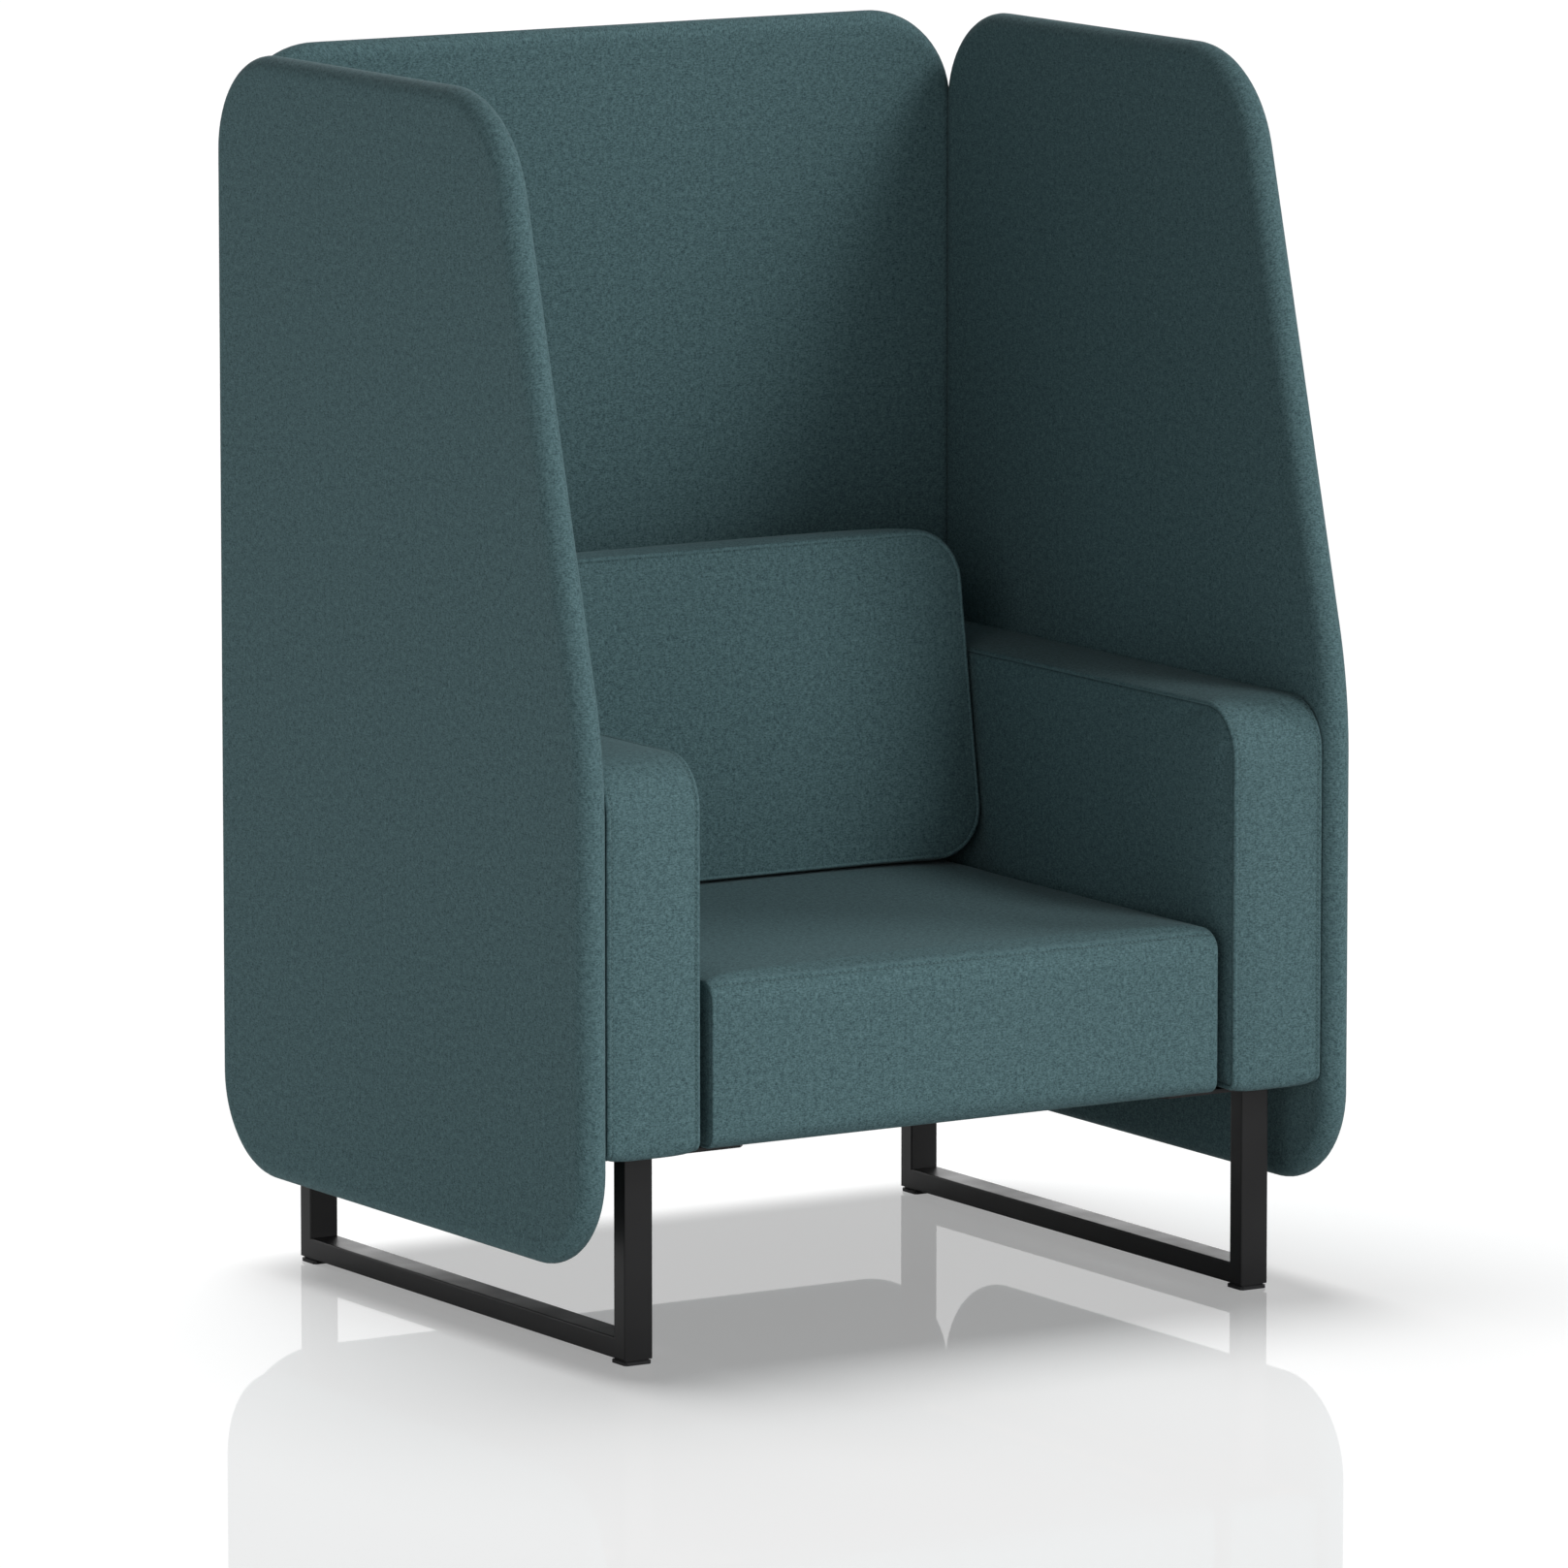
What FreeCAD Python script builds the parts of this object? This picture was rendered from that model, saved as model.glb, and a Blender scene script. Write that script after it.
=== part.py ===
import FreeCAD, Part
import math
import os

# Privacy booth sofa: an armchair on two steel sled legs, closed in by three padded panels.
# Millimetres, +Z up, the sofa faces -Y, +X is to the right of someone looking at its front.
# The origin lies on the floor below the middle of the overall box.
# Depths are measured from the front edge of the side panels towards the back.

Vector = FreeCAD.Vector
up = Vector(0, 0, 1)
right = Vector(1, 0, 0)
back = Vector(0, 1, 0)

# Panels: a board with foam on both faces in a fabric cover
panel_thickness = 38.0
panel_bottom = 119.0
panel_top = 1468.0
panel_corner_radius = 119.0
panel_clear_width = 992.0
side_panel_depth = 853.0
side_panel_setback = 200.0
knee_height = 720.0
knee_radius = 600.0
brow_radius = 152.0
panel_core_thickness = 12.0
panel_core_inset = 14.0
panel_corner_gap = 0.3
panel_fit = 0.3
panel_round_steps = 2
cover_slit = 1.0
cover_slit_end = 30.0

# Upholstery and timber used all over the sofa
cover_thickness = 1.2
cover_rim = 22.0
dust_cover_thickness = 0.8
dust_cover_play = 0.3
rail_thickness = 25.0
edge_draw = 5.0
edge_run = 10.0
edge_steps = 2
crown_steps = 2
block_gap = 0.5

# Arms
arm_width = 126.7
arm_front_depth = 10.0
arm_bottom = 250.0
arm_top = 712.0
arm_brow_radius = 63.0
arm_heel_height = 14.0
arm_heel_run = 24.0
arm_heel_drop = 4.5
arm_rise = 0.5
arm_side_pad = 8.0
arm_front_pad = 18.0
arm_top_pad = 22.0
arm_board = 15.0

# Seat
seat_side_gap = 18.0
seat_front_depth = 15.0
seat_top = 451.0
seat_brow_radius = 24.0
seat_heel_radius = 18.0
seat_rise = 10.0
seat_crown = 4.0
seat_side_pad = 12.0
seat_front_pad = 18.0
seat_rail_thickness = 22.0
seat_rail_height = 90.0
corner_block_width = 60.0
corner_block_length = 120.0
webbing_width = 60.0
webbing_thickness = 1.5
webbing_margin = 2.0
lengthwise_straps = 5
crosswise_straps = 5

# Low back frame between the arms
back_frame_thickness = 126.0
back_frame_top = 712.0
back_frame_brow_radius = 30.0
back_frame_heel_radius = 6.0
back_frame_rise = 2.0
back_frame_pad = 8.0
back_frame_top_pad = 22.0
back_frame_board = 12.0

# Back cushion
cushion_side_gap = 11.0
cushion_height = 398.0
cushion_thickness_low = 175.0
cushion_thickness_high = 111.0
cushion_corner_radius = 66.0
cushion_rest = 0.3
cushion_corner_steps = 4
cushion_crown = 9.0
cushion_draw = 14.0
cushion_edge = 16.0
cushion_zip_margin = 120.0

# Sled legs
tube_width = 38.0
tube_depth = 25.0
tube_wall = 2.0
tube_corner_radius = 2.0
leg_front_depth = 51.5
leg_rear_inset = 33.0
leg_side_inset = 47.7
glide_height = 6.0
glide_length = 33.0
glide_side_inset = 1.0
glide_neck_height = 2.0
glide_neck_inset = 3.0
glide_corner_cut = 3.0
plate_thickness = 5.0
plate_length = 110.0
plate_lead = 11.5
plate_seat_reach = 61.0
plate_side_margin = 10.0
plate_corner_cut = 8.0

# Bolts that hold the plates to the frames
bolt_diameter = 8.0
bolt_head_width = 13.0
bolt_head_height = 5.3
bolt_grip = 24.0
bolt_play = 0.5
bolt_depth = 60.0
seat_bolt_inset = 13.0

# Places worked out from the sizes above
half_panel = panel_thickness / 2
corner_step = (panel_thickness + panel_corner_gap) / math.sqrt(2)
overall_depth = side_panel_depth + corner_step
panel_inner_x = panel_clear_width / 2
back_panel_front = overall_depth - panel_thickness
back_panel_half_width = panel_inner_x + panel_thickness - corner_step
panel_foam = (panel_thickness - panel_core_thickness) / 2 - cover_thickness
arm_outer_x = panel_inner_x - panel_fit
arm_inner_x = arm_outer_x - arm_width
block_back = back_panel_front - panel_fit
back_frame_front = block_back - back_frame_thickness
back_frame_half_width = arm_inner_x - block_gap
seat_back = back_frame_front - block_gap
seat_half_width = arm_inner_x - seat_side_gap
seat_frame_half_width = seat_half_width - cover_thickness - seat_side_pad
seat_frame_front = seat_front_depth + cover_thickness + seat_front_pad
seat_frame_back = seat_back - cover_thickness
frame_bottom = arm_bottom + cover_thickness
seat_frame_top = frame_bottom + seat_rail_height
seat_foam_bottom = seat_frame_top + 2 * webbing_thickness
plate_bottom = arm_bottom - plate_thickness
leg_outer_x = arm_outer_x - leg_side_inset
leg_inner_x = leg_outer_x - tube_width
leg_middle_x = leg_outer_x - tube_width / 2
leg_back_depth = block_back - leg_rear_inset
plate_inner_x = seat_half_width - plate_seat_reach
cushion_back = back_frame_front - block_gap
cushion_half_width = arm_inner_x - cushion_side_gap
cushion_front = cushion_back - cushion_thickness_low
seat_flat_front = seat_front_depth + seat_brow_radius
seat_share = (cushion_front - seat_flat_front) / (seat_back - seat_flat_front)
cushion_bottom = seat_top + seat_crown + 4 * seat_rise * seat_share * (1 - seat_share) + cushion_rest
cushion_top = cushion_bottom + cushion_height


def at(x, depth, z):
    """Point at a depth behind the front edge of the side panels."""
    return Vector(x, depth - overall_depth / 2, z)


def box(x, depth, z):
    """Box between pairs of x, depth and z values."""
    return Part.makeBox(x[1] - x[0], depth[1] - depth[0], z[1] - z[0], at(x[0], depth[0], z[0]))


def mirrored(shape):
    """The same piece on the left side of the sofa."""
    return shape.mirror(Vector(0, 0, 0), right)


def both_sides(shapes):
    """Pieces of the right side together with their left-side twins."""
    return shapes + [mirrored(shape) for shape in shapes]


def save(name, *shapes):
    """Write one node, a single solid or a group of like solids."""
    shape = shapes[0] if len(shapes) == 1 else Part.makeCompound(list(shapes))
    shape.exportStep("parts/" + name + ".step")


def save_pair(name, *shapes):
    """Write a piece of the right side and its twin on the left."""
    save("right_" + name, *shapes)
    save("left_" + name, *[mirrored(shape) for shape in shapes])


# Outlines: lists of corners (u, v, radius) of a convex figure, counter-clockwise
def rectangle(u, v, radius):
    """Corners of a rectangle between pairs of u and v values."""
    return [(u[0], v[0], radius), (u[1], v[0], radius), (u[1], v[1], radius), (u[0], v[1], radius)]


def direction(start, end):
    """Unit direction from one corner to another."""
    u, v = end[0] - start[0], end[1] - start[1]
    length = math.hypot(u, v)
    return u / length, v / length


def inset_outline(outline, inset):
    """The outline with every edge moved inwards, its round corners staying concentric."""
    moved = []
    for i, here in enumerate(outline):
        a = direction(outline[i - 1], here)
        b = direction(here, outline[(i + 1) % len(outline)])
        turn = a[0] * b[1] - a[1] * b[0]
        slide = inset * (1 - a[0] * b[0] - a[1] * b[1]) / turn
        u = here[0] - inset * a[1] - slide * a[0]
        v = here[1] + inset * a[0] - slide * a[1]
        moved.append((u, v, max(here[2] - inset, 0.0)))
    return moved


def rounded_wire(outline, place):
    """Closed wire round the outline, put into space by place(u, v)."""
    starts, edges, ends = [], [], []
    for i, here in enumerate(outline):
        a = direction(here, outline[i - 1])
        b = direction(here, outline[(i + 1) % len(outline)])
        half = math.acos(a[0] * b[0] + a[1] * b[1]) / 2
        tangent = here[2] / math.tan(half)
        reach = (here[2] / math.sin(half) - here[2]) / (2 * math.cos(half))
        starts.append(place(here[0] + tangent * a[0], here[1] + tangent * a[1]))
        ends.append(place(here[0] + tangent * b[0], here[1] + tangent * b[1]))
        if here[2] > 0:
            middle = place(here[0] + reach * (a[0] + b[0]), here[1] + reach * (a[1] + b[1]))
            edges.append(Part.Arc(starts[i], middle, ends[i]).toShape())
    for i in range(len(outline)):
        edges.append(Part.LineSegment(ends[i - 1], starts[i]).toShape())
    return Part.Wire(Part.__sortEdges__(edges))


def plate(outline, place, thickness):
    """Flat piece with a rounded outline, as thick as the given vector."""
    return Part.Face(rounded_wire(outline, place)).extrude(thickness)


# Sled legs: two uprights and a floor rail of rectangular tube, mitred at the floor
def tube(place, length):
    """Rectangular tube along a vector; u of its section runs across the sofa."""
    outer = rectangle((0, tube_width), (0, tube_depth), tube_corner_radius)
    return plate(outer, place, length).cut(plate(inset_outline(outer, tube_wall), place, length))


def mitre_wedge(corner, way, along, above):
    """Wedge on one side of the 45 degree mitre at the foot of a leg."""
    reach = 2 * tube_depth
    start_x = leg_inner_x - tube_width
    points = [at(start_x, corner, glide_height), at(start_x, corner + way * reach, glide_height + reach),
              at(start_x, corner + way * reach * along, glide_height + reach * above)]
    return Part.Face(Part.makePolygon(points + points[:1])).extrude(right * 3 * tube_width)


def sled_leg():
    """Front leg, rear leg and floor rail of the right-hand sled."""
    front, rear, foot = leg_front_depth, leg_back_depth, glide_height
    height = up * (plate_bottom - foot)
    front_leg = tube(lambda u, v: at(leg_inner_x + u, front + v, foot), height)
    rear_leg = tube(lambda u, v: at(leg_inner_x + u, rear - v, foot), height)
    rail = tube(lambda u, v: at(leg_inner_x + u, front, foot + v), back * (rear - front))
    front_leg = front_leg.cut(mitre_wedge(front, 1, 1, 0))
    rear_leg = rear_leg.cut(mitre_wedge(rear, -1, 1, 0))
    rail = rail.cut(mitre_wedge(front, 1, 0, 1)).cut(mitre_wedge(rear, -1, 0, 1))
    return front_leg, rear_leg, rail


def cut_corners(block, size):
    """The block with its four upright edges cut off at 45 degrees."""
    return block.makeChamfer(size, [edge for edge in block.Edges if edge.tangentAt(0).cross(up).Length < 0.5])


def floor_glide(corner, way):
    """Plastic pad under one end of a sled, with a narrower neck against the tube."""
    x = (leg_inner_x + glide_side_inset, leg_outer_x - glide_side_inset)
    depth = sorted((corner, corner + way * glide_length))
    pad_height = glide_height - glide_neck_height
    pad = cut_corners(box(x, depth, (0, pad_height)), glide_corner_cut)
    inset = glide_neck_inset
    neck = box((x[0] + inset, x[1] - inset), (depth[0] + inset, depth[1] - inset), (pad_height, glide_height))
    return pad.fuse(neck).removeSplitter()


def bolt_points(corner, way):
    """Bolt places on one plate: under the arm behind the leg, and under the seat or back frame."""
    depth = corner + way * bolt_depth
    return [at(leg_middle_x, depth, plate_bottom), at(plate_inner_x + seat_bolt_inset, depth, plate_bottom)]


def mounting_plate(corner, way):
    """Steel plate on top of a leg, reaching from under the arm to under the seat."""
    x = (plate_inner_x, leg_outer_x + plate_side_margin)
    depth = sorted((corner - way * plate_lead, corner - way * plate_lead + way * plate_length))
    blank = cut_corners(box(x, depth, (plate_bottom, arm_bottom)), plate_corner_cut)
    return pierced(blank, [bolt_hole(point) for point in bolt_points(corner, way)])


def hexagon_bar(point, width, length):
    """Six-sided bar along Z from a point, as wide as given across its corners."""
    corners = []
    for step in range(7):
        angle = math.pi / 3 * step
        corners.append(point + Vector(math.cos(angle), math.sin(angle), 0) * (width / 2))
    return Part.Face(Part.makePolygon(corners)).extrude(up * length)


def bolt_hole(point):
    """Blind hole for a bolt that enters from below a plate, six-sided like the shank drawn for it."""
    return hexagon_bar(point, bolt_diameter + bolt_play, bolt_grip + bolt_play)


def pierced(shape, bolt_holes):
    """The shape with all the bolt holes cut out of it."""
    for hole in bolt_holes:
        shape = shape.cut(hole)
    return shape


def hex_bolt(point):
    """Bolt with a hexagon head below the plate and its shank pointing up."""
    head = hexagon_bar(point, 2 * bolt_head_width / math.sqrt(3), -bolt_head_height)
    return head.fuse(hexagon_bar(point, bolt_diameter, bolt_grip)).removeSplitter()


arm_holes = [bolt_hole(bolt_points(leg_front_depth, 1)[0]), bolt_hole(bolt_points(leg_back_depth, -1)[0])]
seat_holes = both_sides([bolt_hole(bolt_points(leg_front_depth, 1)[1])])
back_holes = both_sides([bolt_hole(bolt_points(leg_back_depth, -1)[1])])


# Padded blocks: seat, arms and low back frame are shaped and covered in the same way
arm_block = {"x": (arm_inner_x, arm_outer_x), "front": arm_front_depth, "back": block_back,
             "bottom": arm_bottom, "top": arm_top, "brow": arm_brow_radius, "heel": arm_heel_height,
             "heel_run": arm_heel_run, "heel_drop": arm_heel_drop, "rise": arm_rise, "crown": 0.0}
seat_block = {"x": (-seat_half_width, seat_half_width), "front": seat_front_depth, "back": seat_back,
              "bottom": arm_bottom, "top": seat_top, "brow": seat_brow_radius, "heel": seat_heel_radius,
              "heel_run": seat_heel_radius, "heel_drop": 0.0, "rise": seat_rise, "crown": seat_crown}
back_frame_block = {"x": (-back_frame_half_width, back_frame_half_width), "front": back_frame_front,
                    "back": block_back, "bottom": arm_bottom, "top": back_frame_top,
                    "brow": back_frame_brow_radius, "heel": back_frame_heel_radius,
                    "heel_run": back_frame_heel_radius, "heel_drop": 0.0,
                    "rise": back_frame_rise, "crown": 0.0}


def block_section(x, inset, block):
    """Side outline of a padded block at one x: heel arc, front, brow arc, crowned top, flat back."""
    front, rear = block["front"] + inset, block["back"]
    bottom, top = block["bottom"], block["top"] - inset
    brow, heel, run = block["brow"], block["heel"], block["heel_run"]
    bulge = 1 - math.sqrt(0.5)
    low_back, low_front = at(x, rear, bottom), at(x, front + run, bottom)
    heel_middle = at(x, front + bulge * run, bottom + bulge * heel - block["heel_drop"])
    front_low, front_high = at(x, front, bottom + heel), at(x, front, top - brow)
    brow_middle = at(x, front + bulge * brow, top - bulge * brow)
    top_front, top_back = at(x, front + brow, top), at(x, rear, top)
    top_middle = at(x, (front + brow + rear) / 2, top + block["rise"])
    edges = [Part.LineSegment(low_back, low_front), Part.Arc(low_front, heel_middle, front_low),
             Part.LineSegment(front_low, front_high), Part.Arc(front_high, brow_middle, top_front),
             Part.Arc(top_front, top_middle, top_back), Part.LineSegment(top_back, low_back)]
    return Part.Wire([edge.toShape() for edge in edges])


def padded_block(block):
    """Ruled loft of side outlines: rounded in at both seamed sides and crowned in the middle."""
    low, high = block["x"]
    sections = []
    for step in range(edge_steps):
        angle = math.pi / 2 * step / edge_steps
        sections.append((low + edge_run * (1 - math.cos(angle)), edge_draw * (1 - math.sin(angle))))
    edges = [(low + high - x, inset) for x, inset in reversed(sections)]
    steps = crown_steps if block["crown"] > 0 else 1
    for step in range(steps + 1):
        share = step / steps
        x = low + edge_run + (high - low - 2 * edge_run) * share
        sections.append((x, -4 * block["crown"] * share * (1 - share)))
    return Part.makeLoft([block_section(x, inset, block) for x, inset in sections + edges], True, True)


def skinned(block):
    """The same block inside its fabric."""
    skin = cover_thickness
    inner = dict(block)
    inner["x"] = (block["x"][0] + skin, block["x"][1] - skin)
    for name in ("front", "bottom"):
        inner[name] = block[name] + skin
    for name in ("back", "top", "brow", "heel", "heel_run"):
        inner[name] = block[name] - skin
    return inner


def underside(block, play):
    """Spans of x and depth inside the fabric that is turned under the frame."""
    inset = cover_rim + play
    low, high = block["x"]
    return (low + inset, high - inset), (block["front"] + block["heel_run"] + inset, block["back"] - inset)


def block_cover(block):
    """Sewn fabric cover, turned under the frame with an open underside."""
    x, depth = underside(block, 0)
    opening = box(x, depth, (block["bottom"] - cover_thickness, frame_bottom))
    return padded_block(block).cut(padded_block(skinned(block))).cut(opening)


def dust_cover(block, bolt_holes):
    """Thin cloth that closes the underside, flush with the bottom of the frame and pierced by the bolts."""
    x, depth = underside(block, dust_cover_play)
    cloth = box(x, depth, (frame_bottom - dust_cover_thickness, frame_bottom))
    return pierced(cloth, bolt_holes)


# Arm: two boards joined by four rails, with foam over front, top and inner side
def arm_frame():
    """Whole space of the arm's frame, its inner board, outer board and the four rails between them."""
    low_x = arm_inner_x + cover_thickness + arm_side_pad
    high_x = arm_outer_x - cover_thickness
    front = arm_front_depth + cover_thickness + arm_front_pad
    rear = block_back - cover_thickness
    top = arm_top - cover_thickness - arm_top_pad
    brow = arm_brow_radius - cover_thickness - arm_front_pad
    outline = [(front, frame_bottom, 0.0), (rear, frame_bottom, 0.0), (rear, top, 0.0), (front, top, brow)]
    whole = plate(outline, lambda u, v: at(low_x, u, v), right * (high_x - low_x))
    inner_board = plate(outline, lambda u, v: at(low_x, u, v), right * arm_board)
    outer_board = plate(outline, lambda u, v: at(high_x - arm_board, u, v), right * arm_board)
    between, thick = (low_x + arm_board, high_x - arm_board), rail_thickness
    bottom_rail = box(between, (front + thick, rear - thick), (frame_bottom, frame_bottom + thick))
    front_rail = box(between, (front, front + thick), (frame_bottom, top - brow))
    rear_rail = box(between, (rear - thick, rear), (frame_bottom, top - thick))
    top_rail = box(between, (front + brow, rear), (top - thick, top))
    return whole, inner_board, outer_board, (pierced(bottom_rail, arm_holes), front_rail, rear_rail, top_rail)


# Seat: four rails with corner blocks and webbing carry the foam
def seat_frame():
    """Front rail, rear rail, right rail and the four corner blocks."""
    half, thick = seat_frame_half_width, seat_rail_thickness
    height = (frame_bottom, seat_frame_top)
    inside = (seat_frame_front + thick, seat_frame_back - thick)
    front_rail = box((-half, half), (seat_frame_front, inside[0]), height)
    rear_rail = box((-half, half), (inside[1], seat_frame_back), height)
    right_rail = box((half - thick, half), inside, height)
    block_x = (half - thick - corner_block_width, half - thick)
    block_z = (frame_bottom, frame_bottom + rail_thickness)
    front_block = box(block_x, (inside[0], inside[0] + corner_block_length), block_z)
    rear_block = box(block_x, (inside[1] - corner_block_length, inside[1]), block_z)
    return front_rail, rear_rail, right_rail, both_sides([pierced(front_block, seat_holes), rear_block])


def spread(low, high, width, count):
    """Starts of equally spaced strips of a width between two ends."""
    gap = (high - low - count * width) / (count + 1)
    return [low + gap + i * (width + gap) for i in range(count)]


def webbing():
    """Straps from front to back and, on top of them, straps from side to side."""
    half, thick = seat_frame_half_width, seat_rail_thickness
    middle = seat_frame_top + webbing_thickness
    depth = (seat_frame_front + webbing_margin, seat_frame_back - webbing_margin)
    lengthwise = [box((x, x + webbing_width), depth, (seat_frame_top, middle))
                  for x in spread(thick - half, half - thick, webbing_width, lengthwise_straps)]
    width = (webbing_margin - half, half - webbing_margin)
    inside = (seat_frame_front + thick, seat_frame_back - thick)
    crosswise = [box(width, (y, y + webbing_width), (middle, seat_foam_bottom))
                 for y in spread(inside[0], inside[1], webbing_width, crosswise_straps)]
    return lengthwise, crosswise


def seat_foam():
    """Foam block of the seat, hollowed underneath for frame and webbing."""
    half = seat_frame_half_width
    hollow = box((-half, half), (seat_frame_front, seat_frame_back), (arm_bottom, seat_foam_bottom))
    return padded_block(skinned(seat_block)).cut(hollow)


# Back frame: two boards joined by rails, between the arms and behind the cushion
def back_frame():
    """Whole space of the back frame, its front board, rear board and rails."""
    half = back_frame_half_width - cover_thickness
    front = back_frame_front + cover_thickness + back_frame_pad
    rear = block_back - cover_thickness
    top = back_frame_top - cover_thickness - back_frame_top_pad
    height, thick = (frame_bottom, top), rail_thickness
    between = (front + back_frame_board, rear - back_frame_board)
    whole = box((-half, half), (front, rear), height)
    front_board = box((-half, half), (front, between[0]), height)
    rear_board = box((-half, half), (between[1], rear), height)
    bottom_rail = box((-half, half), between, (frame_bottom, frame_bottom + thick))
    top_rail = box((-half, half), between, (top - thick, top))
    end_post = box((half - thick, half), between, (frame_bottom + thick, top - thick))
    rails = [pierced(bottom_rail, back_holes), top_rail] + both_sides([end_post])
    return whole, front_board, rear_board, rails


# Back cushion: a leaning wedge with round corners, crowned front and drawn-in sides
def cushion_section(x, inset, draw, skin):
    """Side outline at one x: leaning front drawn back by some way, flat underside, back and top."""
    low, high = cushion_bottom + inset + skin, cushion_top - inset - skin
    lean = (cushion_thickness_low - cushion_thickness_high) / cushion_height
    low_front = cushion_front + draw + skin + lean * (low - cushion_bottom)
    high_front = low_front + lean * (high - low)
    rear, edge = cushion_back - skin, cushion_edge - skin
    outline = [(low_front, low, edge), (rear, low, 0.0), (rear, high, 0.0), (high_front, high, edge)]
    return rounded_wire(outline, lambda u, v: at(x, u, v))


def cushion_solid(skin):
    """Ruled loft of side outlines: corners rounded off towards both ends, crown in the middle."""
    half, radius = cushion_half_width - skin, cushion_corner_radius - skin
    sections = []
    for step in range(cushion_corner_steps):
        angle = math.pi / 2 * step / cushion_corner_steps
        rounding = 1 - math.sin(angle)
        sections.append((radius * (1 - math.cos(angle)) - half, radius * rounding, cushion_draw * rounding))
    ends = [(-x, inset, draw) for x, inset, draw in reversed(sections)]
    for step in range(crown_steps + 1):
        share = step / crown_steps
        sections.append(((half - radius) * (2 * share - 1), 0, -4 * cushion_crown * share * (1 - share)))
    wires = [cushion_section(x, inset, draw, skin) for x, inset, draw in sections + ends]
    return Part.makeLoft(wires, True, True)


def cushion_cover():
    """Fabric cover with a zip slit along the back of its underside."""
    half = cushion_half_width - cushion_zip_margin
    rear = cushion_back - cushion_edge
    height = (cushion_bottom - cover_thickness, cushion_bottom + 2 * cover_thickness)
    slit = box((-half, half), (rear - cover_slit, rear), height)
    return cushion_solid(0).cut(cushion_solid(cover_thickness)).cut(slit)


# Panels: board core, a foam layer on each face and a cover closed along the bottom edge
side_outline = [(0, panel_bottom, panel_corner_radius),
                (side_panel_depth, panel_bottom, panel_corner_radius),
                (side_panel_depth, panel_top, panel_corner_radius),
                (side_panel_setback, panel_top, brow_radius), (0, knee_height, knee_radius)]
back_outline = rectangle((-back_panel_half_width, back_panel_half_width), (panel_bottom, panel_top),
                         panel_corner_radius)


def padded_slab(outline, place, skin):
    """Ruled loft across the thickness of a panel, with a full round edge; place(u, v, t) sets it in space."""
    radius = half_panel - skin
    wires = []
    for step in range(-panel_round_steps, panel_round_steps + 1):
        angle = math.pi / 2 * step / panel_round_steps
        level = half_panel + radius * math.sin(angle)
        section = inset_outline(outline, skin + radius * (1 - math.cos(angle)))
        wires.append(rounded_wire(section, lambda u, v: place(u, v, level)))
    return Part.makeLoft(wires, True, True)


def panel(outline, place):
    """Core, inner foam, outer foam and cover; t runs from the inner face to the outer face."""
    across = place(0, 0, 1) - place(0, 0, 0)
    core_face = cover_thickness + panel_foam
    core_outline = inset_outline(outline, panel_core_inset)
    core = plate(core_outline, lambda u, v: place(u, v, core_face), across * panel_core_thickness)
    soft = padded_slab(outline, place, cover_thickness)
    padding = soft.cut(core)
    around = inset_outline(outline, -half_panel)
    outer_half = plate(around, lambda u, v: place(u, v, half_panel), across * half_panel)
    inner_foam, outer_foam = padding.cut(outer_half), padding.common(outer_half)
    low = outline[0][0] + panel_corner_radius + cover_slit_end
    high = outline[1][0] - panel_corner_radius - cover_slit_end
    slit = rectangle((low, high), (panel_bottom - cover_thickness, panel_bottom + 2 * cover_thickness), 0.0)
    opening = plate(slit, lambda u, v: place(u, v, half_panel - cover_slit / 2), across * cover_slit)
    cover = padded_slab(outline, place, 0).cut(soft).cut(opening)
    return core, inner_foam, outer_foam, cover


os.makedirs("parts", exist_ok=True)

for leg_name, leg in zip(("front_leg", "rear_leg", "floor_rail"), sled_leg()):
    save_pair(leg_name, leg)
glides, plate_bolts = [], []
for end, corner, way in (("front", leg_front_depth, 1), ("rear", leg_back_depth, -1)):
    save_pair(end + "_plate", mounting_plate(corner, way))
    glides += both_sides([floor_glide(corner, way)])
    plate_bolts += both_sides([hex_bolt(point) for point in bolt_points(corner, way)])
save("floor_glides", *glides)
save("plate_bolts", *plate_bolts)

seat_front_rail, seat_rear_rail, seat_side_rail, seat_corner_blocks = seat_frame()
save("seat_front_rail", seat_front_rail)
save("seat_rear_rail", seat_rear_rail)
save_pair("seat_rail", seat_side_rail)
save("seat_corner_blocks", *seat_corner_blocks)
lengthwise_webbing, crosswise_webbing = webbing()
save("seat_lengthwise_webbing", *lengthwise_webbing)
save("seat_crosswise_webbing", *crosswise_webbing)
save("seat_foam", seat_foam())
save("seat_cover", block_cover(seat_block))
save("seat_dust_cover", dust_cover(seat_block, seat_holes))

arm_whole, arm_inner_board, arm_outer_board, arm_rails = arm_frame()
save_pair("arm_inner_board", arm_inner_board)
save_pair("arm_outer_board", arm_outer_board)
save_pair("arm_rails", *arm_rails)
save_pair("arm_foam", padded_block(skinned(arm_block)).cut(arm_whole))
save_pair("arm_cover", block_cover(arm_block))
save_pair("arm_dust_cover", dust_cover(arm_block, arm_holes))

back_whole, back_front_board, back_rear_board, back_rails = back_frame()
save("back_frame_front_board", back_front_board)
save("back_frame_rear_board", back_rear_board)
save("back_frame_rails", *back_rails)
save("back_frame_foam", padded_block(skinned(back_frame_block)).cut(back_whole))
save("back_frame_cover", block_cover(back_frame_block))
save("back_frame_dust_cover", dust_cover(back_frame_block, back_holes))

save("back_cushion_foam", cushion_solid(cover_thickness))
save("back_cushion_cover", cushion_cover())

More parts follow.
